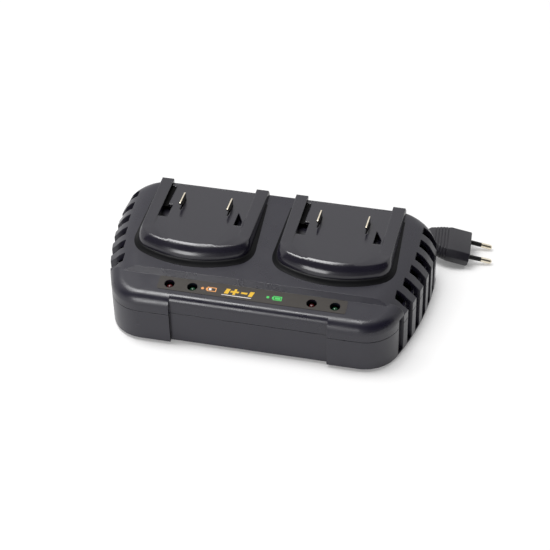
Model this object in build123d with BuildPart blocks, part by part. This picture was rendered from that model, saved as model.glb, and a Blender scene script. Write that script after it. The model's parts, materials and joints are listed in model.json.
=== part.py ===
from build123d import *
from math import atan2, cos, degrees, pi, radians, sin, sqrt, tan
import os

# A twin-bay mains charger for slide-on tool batteries, drawn in millimetres.
# The origin is the middle of the footprint on the bench, X runs along the two bays,
# the front faces -Y and Z is up.

# ---- driving dimensions -------------------------------------------------------------

# overall form
body_width = 254.0  # across the finned sides at their widest
body_depth = 125.5  # corner blocks to rear wall
foot_height = 1.2  # rubber feet below the base
seam_height = 30.8  # parting line between the two housings
side_radius = 240.0  # the sides bow outwards in plan
widest_from_front = 103.0  # where the sides run parallel
front_corner_radius = 28.0
rear_corner_radius = 16.0

# top surfaces of the upper housing
bezel_depth = 25.0  # corner blocks to the foot of the front step
bezel_slope = 6.0  # degrees, the lamp panel falls towards the front
bezel_height = 47.6  # lamp panel at the foot of the step
bezel_edge_radius = 10.0
step_run = 3.0  # the step leans back by this much
top_height = 58.3  # upper housing at the rear edge
top_slope = 4.0  # degrees, the top falls towards the front
top_rear_radius = 2.0
shoulder_height = 38.5  # where the finned shoulder meets the upright side
shoulder_radius = 24.0

# front panel between the corner blocks
panel_half_width = 61.3
panel_recess = 3.0
panel_edge_radius = 6.0

# shells
wall = 2.6
base_wall = 2.8
base_edge = 1.8  # chamfer round the base
seam_groove = 0.5

# side fins and vent slots
slot_count = 6
fin_pitch = 14.4
slot_width = 8.0
first_slot_rear = 42.7  # rear face of the first slot, from the corner blocks
slot_reach = 11.8  # the slots run this far in over the shoulder
groove_depth = 4.5  # the slots go on down the side as grooves
groove_end = 4.0  # height of the rim left under the grooves
corner_groove_rear = 28.3
corner_groove_width = 7.3
corner_groove_depth = 2.4
corner_groove_drop = 3.5

# dock shoes
dock_pitch = 110.0
shoe_front = 38.8  # foot of the nose, from the corner blocks
shoe_rear_gap = 0.5  # shoe to the rear wall of the housing
shoe_half_width = 44.8
shoe_bow_radius = 86.0
shoe_corner_radius = 15.0
nose_foot_height = 54.8
nose_rise = 11.0  # quarter ellipse of the nose: height, then depth at front and sides
nose_front_lean = 12.0
nose_side_lean = 5.0
deck_rear_height = 57.9
deck_slope = 5.4  # degrees, the deck rises towards the nose
arm_rear_height = 61.6
arm_slope = 2.0  # degrees
arm_inner = 34.0  # half of the gap between the arms
lip_slope = 2.2  # degrees, underside of the overhanging lip
neck_front = 49.0
neck_half_width = 37.5
neck_rear_gap = 2.5
shoe_wall = 2.6
seat_depth = 1.4  # the neck stands this deep in the top of the housing
seat_fit = 0.1
pocket_inner = 26.6
pocket_front = 76.8
pocket_length = 17.4
key_pocket_outer = 32.2

# battery contacts and their carriers
blade_spacing = 38.2
blade_front = 88.3
blade_length = 16.0
blade_rise = 7.0  # above the deck
blade_thickness = 1.0
blade_drop = 4.0  # tail below the carrier
blade_fit = 0.05
carrier_width = 50.0
carrier_depth = 26.0
carrier_thickness = 6.0
carrier_fit = 0.6
dock_screw_spacing = 61.0
dock_screw_front = 61.0
dock_screw_rear = 102.0
dock_boss_radius = 3.4

# lamps and the printed film on the lamp panel
lamp_hole = 8.0
lamp_inner_offset = 46.3
lamp_outer_offset = 64.2
lamp_from_front = 17.6
lamp_diameter = 5.0
lamp_length = 8.6
lamp_bevel = 1.0
lamp_depth = 1.6  # top of the lamp below the film
label_half_width = 73.0
label_length = 13.2
label_from_front = 11.5
label_thickness = 0.25
label_corner_radius = 1.5
lamp_board_width = 142.0
lamp_board_length = 12.0
lamp_post_offset = 55.0
lamp_post_radius = 2.5

# main circuit board
board_side_gap = 24.0  # board to the widest point of the sides
board_length = 76.0
board_thickness = 1.6
board_height = 12.0
board_from_front = 30.0
board_screw_inset = 5.0
standoff_radius = 3.5

# parts on the main board
transformer_offset = 40.0
transformer_from_front = 61.0
core_width = 34.0
core_depth = 14.0
core_height = 28.0
core_leg = 5.0
core_centre_leg = 10.0
winding_length = 27.0
winding_fit = 0.1
winding_foot = 3.0
bulk_radius = 9.0
bulk_height = 30.0
bulk_edge_gap = 19.0  # to the side edge of the board
bulk_spacing = 20.0
bulk_from_front = 44.0
output_radius = 5.0
output_height = 20.0
output_offset = 64.0
output_from_front = 68.0
output_spacing = 13.0
choke_radius = 11.0
choke_bore = 5.0
choke_turns = 12
choke_height = 9.0
choke_edge_gap = 21.0
choke_from_front = 81.0
fuse_length = 8.5
fuse_width = 4.0
fuse_height = 8.0
fuse_edge = 0.5
fuse_x = -55.0
fuse_from_front = 100.0
sink_offset = 11.0
sink_plate = 3.0
sink_length = 40.0
sink_height = 28.0
sink_from_front = 73.0
fin_count = 5
fin_depth = 7.0
fin_thickness = 1.6
transistor_width = 10.0
transistor_depth = 4.5
transistor_height = 9.0
tab_thickness = 1.3
tab_height = 6.5
leg_height = 5.0
leg_width = 0.9
leg_pitch = 2.54
ribbon_width = 14.0
ribbon_thickness = 1.2
strap_width = 2.2
strap_thickness = 0.8
strap_shift = 6.0
strap_low = 22.0
strap_high = 36.0

# screws, bosses and feet
boss_radius = 4.0
lower_boss_radius = 5.0
boss_meeting_height = 24.0
boss_side_gap = 29.0  # from the widest point of the sides
boss_front = 20.0
boss_rear_gap = 13.5
screw_radius = 1.5
screw_sides = 8
screw_head_radius = 2.9
screw_head_height = 2.0
screw_bite = 8.0
dock_screw_bite = 3.4
screw_clearance = 0.2  # in a clearance hole
thread_fit = 0.03  # in its own thread
counterbore_depth = 10.0
foot_radius = 7.0
foot_recess = 1.0
foot_side_gap = 39.0
foot_front = 36.0
foot_rear_gap = 25.5
foot_fit = 0.05

# base vents
base_vent_count = 5
base_vent_pitch = 9.0
base_vent_length = 44.0
base_vent_width = 3.2

# mains lead
cord_diameter = 5.4
exit_side_gap = 39.0
exit_height = 12.0
relief_length = 20.0
relief_root_radius = 5.4
relief_tip_radius = 3.6
relief_flange_width = 14.4
relief_flange_thickness = 1.8
relief_fit = 0.05

# hank of cord behind the charger, tied at its waist
hank_x = 0.0
hank_y = 90.6
hank_half_span = 40.5  # middle to the centre of each end loop
hank_inner_bend = 16.2
hank_height = 10.8
hank_edge = 1.6  # the outer strands are round, here a chamfer
tail_reach = 18.0
joint_gap = 0.12  # between the lead and the plug it enters
tie_width = 6.0
tie_thickness = 0.8
tie_fit = 0.15

# mains plug: where its face lies, and its own sizes
plug_face = (147.8, 87.2, 7.15)
plug_turn = 5.1  # degrees about the vertical
plug_dip = 13.6  # degrees, pins down
plug_roll = 1.8  # degrees
plug_width = 35.3
plug_thickness = 13.7
plug_flat = 26.1
plug_edge = 0.8
plug_body_length = 17.0
plug_taper_length = 6.0
plug_neck_width = 20.0
plug_neck_thickness = 11.6
plug_neck_length = 18.0
plug_end_width = 10.0
plug_end_thickness = 8.0
plug_rib_count = 4
plug_rib_pitch = 3.8
plug_rib_gap = 1.5
plug_rib_depth = 1.2
pin_radius = 2.0
pin_sleeve_radius = 1.8
pin_length = 19.0
pin_sleeve_length = 10.0
pin_core_radius = 1.3
sleeve_gap = 0.07
pin_root = 6.0
pin_tip = 1.0
pin_spacing = 18.6
pin_lean = 1.7  # degrees, the pins close up towards their tips

# ---- derived places -----------------------------------------------------------------

front_y = -body_depth / 2
rear_y = body_depth / 2
side_centre_x = body_width / 2 - side_radius
side_centre_y = front_y + widest_from_front
bezel_y = front_y + bezel_depth
step_y = bezel_y + step_run
side_wall = groove_depth + wall
floor_z = foot_height + base_wall
docks = (("left", -dock_pitch / 2), ("right", dock_pitch / 2))
board_width = body_width - 2 * board_side_gap
boss_half_span = body_width / 2 - boss_side_gap
foot_half_span = body_width / 2 - foot_side_gap
exit_x = exit_side_gap - body_width / 2
slot_rears = [front_y + first_slot_rear + number * fin_pitch for number in range(slot_count)]


def sloping(y, z, slope):
    """A plane through (0, y, z) that rises towards the rear by slope degrees."""
    return Plane(
        origin=(0, y, z),
        x_dir=(1, 0, 0),
        z_dir=(0, -sin(radians(slope)), cos(radians(slope))),
    )


def facing_rear(y):
    """An upright plane across the body at y, facing the rear."""
    return Plane(origin=(0, y, 0), x_dir=(-1, 0, 0), z_dir=(0, 1, 0))


def top_z(y):
    """Height of the sloping top of the upper housing."""
    return top_height - (rear_y - y) * tan(radians(top_slope))


def panel_z(y):
    """Height of the lamp panel."""
    return bezel_height - (bezel_y - y) * tan(radians(bezel_slope))


def deck_z(y):
    """Height of a dock's deck."""
    return deck_rear_height + (rear_y - y) * tan(radians(deck_slope))


def side_x(y):
    """Half width of the body."""
    return side_centre_x + sqrt(side_radius**2 - (y - side_centre_y) ** 2)


top_plane = sloping(rear_y, top_height, top_slope)
panel_plane = sloping(bezel_y, bezel_height, bezel_slope)
deck_plane = sloping(rear_y, deck_rear_height, -deck_slope)
arm_plane = sloping(rear_y, arm_rear_height, -arm_slope)
lip_plane = sloping(front_y + shoe_front, nose_foot_height + 0.2, lip_slope)
seat_plane = top_plane.offset(-seat_depth)
lamp_board_depth = lamp_depth + lamp_length
lamp_row = lamp_from_front - bezel_depth
board_top = board_height + board_thickness


def step_plane(skin):
    """The leaning front step between the lamp panel and the top."""
    rise = top_z(step_y) - bezel_height
    lean = sqrt(rise**2 + step_run**2)
    normal = Vector(0, rise / lean, -step_run / lean)
    foot = Vector(0, bezel_y, bezel_height) + normal * skin
    return Plane(origin=foot, x_dir=(1, 0, 0), z_dir=normal)


# ---- shared outlines and forms ------------------------------------------------------


def body_outline(side_inset=0.0, end_inset=0.0):
    """Plan of the body: straight front and rear, bowed sides, round corners."""
    centre_x = side_centre_x - side_inset
    front = front_y + end_inset
    rear = rear_y - end_inset
    front_radius = front_corner_radius - end_inset
    rear_radius = rear_corner_radius - end_inset
    front_bend_y = front + front_radius
    front_reach = side_radius - front_radius
    front_bend_x = centre_x + sqrt(front_reach**2 - (front_bend_y - side_centre_y) ** 2)
    front_turn = degrees(atan2(front_bend_y - side_centre_y, front_bend_x - centre_x))
    rear_bend_y = rear - rear_radius
    rear_reach = side_radius - rear_radius
    rear_bend_x = centre_x + sqrt(rear_reach**2 - (rear_bend_y - side_centre_y) ** 2)
    rear_turn = degrees(atan2(rear_bend_y - side_centre_y, rear_bend_x - centre_x))
    with BuildSketch() as plan:
        with BuildLine():
            Line((0, rear), (0, front))
            Line((0, front), (front_bend_x, front))
            CenterArc((front_bend_x, front_bend_y), front_radius, -90, 90 + front_turn)
            CenterArc((centre_x, side_centre_y), side_radius, front_turn, rear_turn - front_turn)
            CenterArc((rear_bend_x, rear_bend_y), rear_radius, rear_turn, 90 - rear_turn)
            Line((rear_bend_x, rear), (0, rear))
        make_face()
        mirror(about=Plane.YZ)
    return plan.sketch


def recessed_outline(side_inset=0.0, end_inset=0.0, skin=0.0):
    """The body's plan with the recess of the front panel."""
    with BuildSketch() as plan:
        add(body_outline(side_inset, end_inset))
        with Locations((0, front_y)):
            Rectangle(
                2 * (panel_half_width + skin), 2 * (panel_recess + end_inset), mode=Mode.SUBTRACT
            )
    return plan.sketch


def sloping_outline(depth, side_inset, end_inset):
    """The body's plan where a plane parallel to the top cuts it, depth below the top."""
    with BuildPart() as prism:
        add(body_outline(side_inset, end_inset))
        extrude(amount=2 * top_height)
    return section(prism.part, section_by=top_plane.offset(-depth))


def shouldered_form(side_inset, end_inset, skin, turns):
    """Straight sides up to the shoulder, then bands that roll over to the sloping top."""
    with BuildPart() as form:
        for height in (seam_height, shoulder_height):
            with BuildSketch(Plane.XY.offset(height)):
                add(body_outline(side_inset, end_inset))
        for turn in turns:
            reach = skin + shoulder_radius * (1 - cos(radians(turn)))
            depth = skin + shoulder_radius * (1 - sin(radians(turn)))
            add(sloping_outline(depth, reach, end_inset))
        loft(ruled=True)
    return form.part


def corner_blocks(side_inset, end_inset, skin):
    """The front of the upper housing with its top edge rounded off."""
    with BuildPart() as form:
        with BuildSketch(Plane.XY.offset(seam_height)):
            add(body_outline(side_inset, end_inset))
        extrude(amount=top_height - seam_height)
        split(bisect_by=panel_plane.offset(-skin), keep=Keep.BOTTOM)
        split(bisect_by=facing_rear(step_y), keep=Keep.BOTTOM)
        rim = form.faces().sort_by(Axis.Z)[-1].edges().sort_by(Axis.Y)[:-1]
        fillet(rim, radius=bezel_edge_radius - skin)
    return form.part


def centre_panel(end_inset, skin):
    """The recessed front panel between the corner blocks."""
    front = front_y + panel_recess + end_inset
    with BuildPart() as form:
        with BuildSketch(Plane.YZ):
            with BuildLine():
                Polyline(
                    (front, seam_height),
                    (step_y, seam_height),
                    (step_y, panel_z(step_y) - skin),
                    (front, panel_z(front) - skin),
                    close=True,
                )
            face = make_face()
            fillet(face.vertices().sort_by(Axis.X)[:2].sort_by(Axis.Y)[-1], radius=panel_edge_radius - skin)
        extrude(amount=panel_half_width + skin, both=True)
    return form.part


def front_form(side_inset, end_inset, skin):
    """The lamp panel's part of the upper housing, with the front panel set back."""
    with BuildPart() as form:
        add(corner_blocks(side_inset, end_inset, skin))
        with BuildSketch(Plane.XY.offset(seam_height)):
            with Locations((0, front_y)):
                Rectangle(2 * (panel_half_width + skin), 2 * (step_run + bezel_depth))
        extrude(amount=top_height - seam_height, mode=Mode.SUBTRACT)
        add(centre_panel(end_inset, skin))
    return form.part


def behind_step(form, skin):
    """What lies of a form behind the front step."""
    with BuildPart() as kept:
        add(form)
        split(bisect_by=facing_rear(bezel_y + skin), keep=Keep.TOP)
        split(bisect_by=step_plane(skin), keep=Keep.TOP)
    return kept.part


def slot_columns(reach, low, high):
    """Upright bars that cut the vent slots to a given depth on both sides."""
    with BuildPart() as bars:
        with BuildSketch(Plane.XY.offset(low)):
            for rear in slot_rears:
                inner = side_x(rear - slot_width / 2) - reach
                with Locations((inner, rear)):
                    Rectangle(3 * reach, slot_width, align=(Align.MIN, Align.MAX))
            mirror(about=Plane.YZ)
        extrude(amount=high - low)
    return bars.part


def corner_columns(low, high):
    """Upright bars that cut the shallow grooves behind the corner blocks."""
    rear = front_y + corner_groove_rear
    with BuildPart() as bars:
        with BuildSketch(Plane.XY.offset(low)):
            with Locations((side_x(rear - corner_groove_width / 2) - corner_groove_depth, rear)):
                Rectangle(
                    4 * corner_groove_depth,
                    corner_groove_width,
                    align=(Align.MIN, Align.MAX),
                )
            mirror(about=Plane.YZ)
        extrude(amount=high - low)
    return bars.part


def shoe_outline(front, rear, half_width):
    """Plan of a dock shoe: bowed nose, round corners, straight sides."""
    with BuildSketch() as plan:
        with Locations((0, (front + rear) / 2)):
            Rectangle(2 * half_width, rear - front)
        with Locations((0, front + shoe_bow_radius)):
            Circle(shoe_bow_radius, mode=Mode.INTERSECT)
        fillet(plan.vertices().group_by(Axis.Y)[0], radius=shoe_corner_radius)
    return plan.sketch


def neck_outline(inset):
    """Plan of the shoe's neck, which stands in the housing."""
    return shoe_outline(
        front_y + neck_front + inset,
        rear_y - neck_rear_gap - inset,
        neck_half_width - inset,
    )


def seat_recess():
    """The space that a shoe's neck takes out of the top of the housing."""
    with BuildPart() as recess:
        with BuildSketch(Plane.XY.offset(shoulder_height)):
            add(neck_outline(-seat_fit))
        extrude(amount=top_height)
        split(bisect_by=seat_plane, keep=Keep.TOP)
    return recess.part


def screw(length):
    """A pan-head screw, shank down, its thread a plain prism, the underside of its head at the origin."""
    with BuildPart() as form:
        with BuildSketch():
            Circle(screw_head_radius)
        extrude(amount=screw_head_height)
        with BuildSketch():
            RegularPolygon(screw_radius, screw_sides)
        extrude(amount=-length)
    return form.part


boss_points = [
    (x, y)
    for x in (-boss_half_span, boss_half_span)
    for y in (front_y + boss_front, rear_y - boss_rear_gap)
]
foot_points = [
    (x, y)
    for x in (-foot_half_span, foot_half_span)
    for y in (front_y + foot_front, rear_y - foot_rear_gap)
]
lamp_offsets = (-lamp_outer_offset, -lamp_inner_offset, lamp_inner_offset, lamp_outer_offset)
standoff_points = [
    (x, front_y + board_from_front + y)
    for x in (board_screw_inset - board_width / 2, board_width / 2 - board_screw_inset)
    for y in (board_screw_inset, board_length - board_screw_inset)
]
dock_screw_points = [
    (x, front_y + y)
    for x in (-dock_screw_spacing / 2, dock_screw_spacing / 2)
    for y in (dock_screw_front, dock_screw_rear)
]
blade_y = front_y + blade_front + blade_length / 2
carrier_plane = Plane(
    origin=(0, blade_y, deck_z(blade_y) - shoe_wall / cos(radians(deck_slope))),
    x_dir=(1, 0, 0),
    z_dir=deck_plane.z_dir,
)

# ---- upper housing ------------------------------------------------------------------

with BuildPart() as upper_housing:
    add(front_form(0, 0, 0))
    add(behind_step(shouldered_form(0, 0, 0, (36, 46, 56, 66, 78, 90)), 0))
    # the top edge of the rear wall is eased
    ease_y = rear_y - top_rear_radius
    ease_z = top_z(ease_y) - top_rear_radius / cos(radians(top_slope))
    with BuildSketch(Plane.YZ):
        with Locations((ease_y, ease_z)):
            Rectangle(2 * top_rear_radius, 2 * top_rear_radius, align=(Align.MIN, Align.MIN))
            Circle(top_rear_radius, mode=Mode.SUBTRACT)
    extrude(amount=body_width, both=True, mode=Mode.SUBTRACT)
    # the inside: under the top, and under the lamp panel
    add(behind_step(shouldered_form(side_wall, base_wall, wall, (36, 63, 90)), wall), mode=Mode.SUBTRACT)
    add(front_form(side_wall, base_wall, wall), mode=Mode.SUBTRACT)
    # vent slots right through the shoulders, and their grooves down the sides
    add(slot_columns(slot_reach, shoulder_height, top_height), mode=Mode.SUBTRACT)
    add(slot_columns(groove_depth, groove_end, shoulder_height), mode=Mode.SUBTRACT)
    add(corner_columns(groove_end, shoulder_height), mode=Mode.SUBTRACT)
    # openings for the lamps
    with BuildSketch(panel_plane) as lamp_openings:
        for offset_x in (lamp_inner_offset, lamp_outer_offset):
            with Locations((offset_x, lamp_from_front - bezel_depth), (-offset_x, lamp_from_front - bezel_depth)):
                Circle(lamp_hole / 2)
    extrude(amount=2 * wall, both=True, mode=Mode.SUBTRACT)
    # seats for the dock shoes, with a well under each set of contacts
    for side, dock_x in docks:
        with Locations((dock_x, 0)):
            add(seat_recess(), mode=Mode.SUBTRACT)
        with BuildSketch(Plane.XY.offset(top_height)):
            with Locations((dock_x, blade_y)):
                Rectangle(carrier_width + 2 * carrier_fit, carrier_depth + 2 * carrier_fit)
            with Locations(*[(dock_x + x, y) for x, y in dock_screw_points]):
                Circle(screw_radius + screw_clearance)
        extrude(amount=shoulder_height - top_height, mode=Mode.SUBTRACT)
    # screw bosses hanging from the top
    for x, y in boss_points:
        boss_top = (panel_z(y) if y < bezel_y else top_z(y)) - wall / 2
        with BuildSketch(Plane.XY.offset(boss_meeting_height)):
            with Locations((x, y)):
                Circle(boss_radius)
                Circle(screw_radius + thread_fit, mode=Mode.SUBTRACT)
        extrude(amount=boss_top - boss_meeting_height)
    # posts for the lamp board
    with BuildSketch(panel_plane.offset(-lamp_board_depth)):
        with Locations((-lamp_post_offset, lamp_row), (lamp_post_offset, lamp_row)):
            Circle(lamp_post_radius)
            Circle(screw_radius + thread_fit, mode=Mode.SUBTRACT)
    extrude(amount=lamp_board_depth - wall / 2)

# ---- lower housing ------------------------------------------------------------------

with BuildPart() as lower_housing:
    with BuildSketch(Plane.XY.offset(foot_height)):
        add(recessed_outline())
    extrude(amount=seam_height - foot_height)
    chamfer(lower_housing.faces().sort_by(Axis.Z)[0].edges(), length=base_edge)
    # the inside
    with BuildSketch(Plane.XY.offset(floor_z)):
        add(recessed_outline(side_wall, base_wall, wall))
    extrude(amount=seam_height, mode=Mode.SUBTRACT)
    # shadow groove under the parting line
    with BuildSketch(Plane.XY.offset(seam_height)):
        add(recessed_outline())
        add(recessed_outline(seam_groove, seam_groove, seam_groove), mode=Mode.SUBTRACT)
    extrude(amount=-seam_groove, mode=Mode.SUBTRACT)
    add(slot_columns(groove_depth, groove_end, seam_height), mode=Mode.SUBTRACT)
    add(corner_columns(groove_end, seam_height), mode=Mode.SUBTRACT)
    # screw bosses that meet the upper ones, and standoffs for the main board
    with BuildSketch(Plane.XY.offset(foot_height)):
        with Locations(*boss_points):
            Circle(lower_boss_radius)
    extrude(amount=boss_meeting_height - foot_height)
    with BuildSketch(Plane.XY.offset(foot_height)):
        with Locations(*standoff_points):
            Circle(standoff_radius)
    extrude(amount=board_height - foot_height)
    with Locations(*[(x, y, board_height) for x, y in standoff_points]):
        Hole(radius=screw_radius + thread_fit, depth=board_height - floor_z)
    # deep counterbores for the housing screws, from below
    with Locations(*[Pos(x, y, foot_height) * Rot(180, 0, 0) for x, y in boss_points]):
        CounterBoreHole(
            radius=screw_radius + screw_clearance,
            counter_bore_radius=screw_head_radius + screw_clearance,
            counter_bore_depth=counterbore_depth,
        )
    # recesses for the feet
    with BuildSketch(Plane.XY.offset(foot_height)):
        with Locations(*foot_points):
            Circle(foot_radius + foot_fit)
    extrude(amount=foot_recess, mode=Mode.SUBTRACT)
    # cooling slots in the base, under the transformers
    with BuildSketch(Plane.XY):
        for dock_x in (-transformer_offset, transformer_offset):
            with Locations((dock_x, 0)):
                with GridLocations(base_vent_pitch, 1, base_vent_count, 1):
                    Rectangle(base_vent_width, base_vent_length)
    extrude(amount=floor_z, mode=Mode.SUBTRACT)
    # hole for the strain relief
    with BuildSketch(facing_rear(rear_y)):
        with Locations((-exit_x, exit_height)):
            Circle(relief_root_radius + relief_fit)
    extrude(amount=-2 * base_wall, mode=Mode.SUBTRACT)

with BuildPart() as rubber_feet:
    with BuildSketch():
        with Locations(*foot_points):
            Circle(foot_radius)
    extrude(amount=foot_height + foot_recess)

with BuildPart() as housing_screws:
    with Locations(*[Pos(x, y, foot_height + counterbore_depth) * Rot(180, 0, 0) for x, y in boss_points]):
        add(screw(boss_meeting_height - foot_height - counterbore_depth + screw_bite))

# ---- dock shoes ---------------------------------------------------------------------


def nose_form():
    """The overhanging body of a shoe, its nose and sides rolled over."""
    with BuildPart() as form:
        for turn in (0, 14, 28, 42, 56, 70, 84):
            lean = 1 - cos(radians(turn))
            with BuildSketch(Plane.XY.offset(nose_foot_height + nose_rise * sin(radians(turn)))):
                add(
                    shoe_outline(
                        front_y + shoe_front + nose_front_lean * lean,
                        rear_y - shoe_rear_gap,
                        shoe_half_width - nose_side_lean * lean,
                    )
                )
        loft(ruled=True)
        split(bisect_by=lip_plane, keep=Keep.TOP)
    return form.part


def neck_form(inset, roof):
    """The shoe's neck, from its seat up to a plane parallel to the deck."""
    with BuildPart() as form:
        with BuildSketch(Plane.XY.offset(shoulder_height)):
            add(neck_outline(inset))
        extrude(amount=shoulder_height)
        split(bisect_by=seat_plane, keep=Keep.TOP)
        split(bisect_by=deck_plane.offset(-roof), keep=Keep.BOTTOM)
    return form.part


with BuildPart() as arms:
    add(nose_form())
    split(bisect_by=arm_plane, keep=Keep.BOTTOM)
    with BuildSketch():
        Rectangle(2 * arm_inner, 2 * body_depth)
    extrude(amount=2 * top_height, mode=Mode.SUBTRACT)

with BuildPart() as shoe_inside:
    add(neck_form(shoe_wall, shoe_wall))
    # screw bosses stay standing in the hollow
    with BuildSketch():
        with Locations(*dock_screw_points):
            Circle(dock_boss_radius)
    extrude(amount=2 * top_height, mode=Mode.SUBTRACT)

with BuildPart() as dock_shoe:
    add(nose_form())
    split(bisect_by=deck_plane, keep=Keep.BOTTOM)
    add(neck_form(0, 0))
    add(arms.part)
    add(shoe_inside.part, mode=Mode.SUBTRACT)
    # holes for its screws
    for x, y in dock_screw_points:
        with BuildSketch(Plane.XY.offset(shoulder_height)):
            with Locations((x, y)):
                Circle(screw_radius + thread_fit)
        extrude(amount=top_z(y) - seat_depth + dock_screw_bite - shoulder_height, mode=Mode.SUBTRACT)
    # slots for the blades, the square pocket and the keyed pocket
    pocket_y = front_y + pocket_front
    with BuildSketch(Plane.XY.offset(shoulder_height)):
        with Locations((-blade_spacing / 2, blade_y), (blade_spacing / 2, blade_y)):
            Rectangle(blade_thickness + 2 * blade_fit, blade_length + 2 * blade_fit)
        with Locations((-arm_inner, pocket_y)):
            Rectangle(arm_inner - pocket_inner, pocket_length, align=(Align.MIN, Align.MIN))
        with BuildLine():
            Polyline(
                (pocket_inner, pocket_y),
                (key_pocket_outer, pocket_y),
                (key_pocket_outer, pocket_y + pocket_length / 3),
                (pocket_inner, pocket_y + pocket_length),
                close=True,
            )
        make_face()
    extrude(amount=top_height, mode=Mode.SUBTRACT)

with BuildPart() as contact_carrier:
    with BuildSketch(carrier_plane):
        RectangleRounded(carrier_width, carrier_depth, 1)
    extrude(amount=-carrier_thickness)
    with BuildSketch(Plane.XY.offset(shoulder_height)):
        with Locations((-blade_spacing / 2, blade_y), (blade_spacing / 2, blade_y)):
            Rectangle(blade_thickness + 2 * blade_fit, blade_length + 2 * blade_fit)
    extrude(amount=top_height, mode=Mode.SUBTRACT)

blade_tail_z = deck_z(blade_y) - shoe_wall - carrier_thickness - blade_drop
with BuildPart() as contact_blades:
    for x in (-blade_spacing / 2, blade_spacing / 2):
        front = blade_y - blade_length / 2
        rear = blade_y + blade_length / 2
        with BuildSketch(Plane.YZ.offset(x)):
            with BuildLine():
                Polyline(
                    (front, blade_tail_z),
                    (rear, blade_tail_z),
                    (rear, deck_z(rear) + blade_rise),
                    (front, deck_z(front) + blade_rise),
                    close=True,
                )
            blade_face = make_face()
            fillet(blade_face.vertices().sort_by(Axis.Y)[2:], radius=1.2)
        extrude(amount=blade_thickness / 2, both=True)

with BuildPart() as dock_screws:
    for side, dock_x in docks:
        for x, y in dock_screw_points:
            under = top_z(y - screw_head_radius) - wall / cos(radians(top_slope))
            with Locations(Pos(dock_x + x, y, under) * Rot(180, 0, 0)):
                add(screw(top_z(y) - seat_depth + dock_screw_bite - under - 0.2))

# ---- lamps, lamp board and printed film ---------------------------------------------

with BuildPart() as label_overlay:
    with BuildSketch(panel_plane):
        with Locations((0, label_from_front + label_length / 2 - bezel_depth)):
            RectangleRounded(2 * label_half_width, label_length, label_corner_radius)
        with Locations(*[(x, lamp_row) for x in lamp_offsets]):
            Circle(lamp_hole / 2, mode=Mode.SUBTRACT)
    extrude(amount=label_thickness)

with BuildPart() as lamp_board:
    with BuildSketch(panel_plane.offset(-lamp_board_depth)):
        with Locations((0, lamp_row)):
            Rectangle(lamp_board_width, lamp_board_length)
        with Locations((-lamp_post_offset, lamp_row), (lamp_post_offset, lamp_row)):
            Circle(screw_radius + screw_clearance, mode=Mode.SUBTRACT)
    extrude(amount=-board_thickness)


def lamp():
    """A round lamp standing at the origin: collar, barrel and bevelled lens."""
    radius = lamp_diameter / 2
    with BuildPart() as form:
        with BuildSketch(Plane.XZ):
            with BuildLine():
                Polyline(
                    (0, lamp_length),
                    (0, 0),
                    (radius + 0.4, 0),
                    (radius + 0.4, 1),
                    (radius, 1),
                    (radius, lamp_length - lamp_bevel),
                    (radius - lamp_bevel, lamp_length),
                    (0, lamp_length),
                )
            make_face()
        revolve(axis=Axis.Z)
    return form.part


lamp_foot = panel_plane.offset(-lamp_board_depth)
with BuildPart() as red_lamps:
    with Locations(lamp_foot):
        with Locations((-lamp_outer_offset, lamp_row), (lamp_inner_offset, lamp_row)):
            add(lamp())

with BuildPart() as green_lamps:
    with Locations(lamp_foot):
        with Locations((-lamp_inner_offset, lamp_row), (lamp_outer_offset, lamp_row)):
            add(lamp())

# ---- main board and what it carries -------------------------------------------------

board_centre_y = front_y + board_from_front + board_length / 2
with BuildPart() as main_board:
    with BuildSketch(Plane.XY.offset(board_height)):
        with Locations((0, board_centre_y)):
            Rectangle(board_width, board_length)
        with Locations(*standoff_points):
            Circle(screw_radius + screw_clearance, mode=Mode.SUBTRACT)
    extrude(amount=board_thickness)

lamp_screw_length = board_thickness + 5.0
with BuildPart() as board_screws:
    with Locations(*[(x, y, board_top) for x, y in standoff_points]):
        add(screw(board_thickness + screw_bite - 2))
    with Locations(panel_plane.offset(-lamp_board_depth - board_thickness)):
        with Locations((-lamp_post_offset, lamp_row), (lamp_post_offset, lamp_row)):
            with Locations(Rot(180, 0, 0)):
                add(screw(lamp_screw_length))

core_points = [
    (-transformer_offset, front_y + transformer_from_front),
    (transformer_offset, front_y + transformer_from_front),
]
with BuildPart() as transformer_cores:
    for x, y in core_points:
        with BuildSketch(Plane.XZ.offset(-y - core_depth / 2)):
            with Locations((x, board_top + core_height / 2)):
                Rectangle(core_width, core_height)
                window = (core_width - core_centre_leg) / 2 - core_leg
                shift = (core_centre_leg + window) / 2
                with Locations((-shift, 0), (shift, 0)):
                    Rectangle(window, core_height - 2 * core_leg, mode=Mode.SUBTRACT)
        extrude(amount=core_depth)

window = (core_width - core_centre_leg) / 2 - core_leg
with BuildPart() as transformer_windings:
    for x, y in core_points:
        with BuildSketch(Plane.XY.offset(board_top + core_leg + winding_fit)):
            with Locations((x, y)):
                RectangleRounded(core_centre_leg + 2 * (window - winding_fit), winding_length, 3)
                Rectangle(
                    core_centre_leg + 2 * winding_fit, core_depth + 2 * winding_fit, mode=Mode.SUBTRACT
                )
        extrude(amount=core_height - 2 * core_leg - 2 * winding_fit)
        with BuildSketch(Plane.XY.offset(board_top)):
            with Locations((x, y)):
                with GridLocations(0, winding_length - winding_foot, 1, 2):
                    Rectangle(core_centre_leg + window, winding_foot)
        extrude(amount=core_leg + 2 * winding_fit)


with BuildPart() as bulk_capacitors:
    with BuildSketch(Plane.XY.offset(board_top)):
        with Locations((bulk_edge_gap - board_width / 2 + bulk_spacing / 2, front_y + bulk_from_front)):
            with GridLocations(bulk_spacing, 0, 2, 1):
                Circle(bulk_radius)
    extrude(amount=bulk_height)

with BuildPart() as output_capacitors:
    with BuildSketch(Plane.XY.offset(board_top)):
        with Locations((0, front_y + output_from_front)):
            with GridLocations(2 * output_offset, output_spacing, 2, 2):
                Circle(output_radius)
    extrude(amount=output_height)

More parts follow.
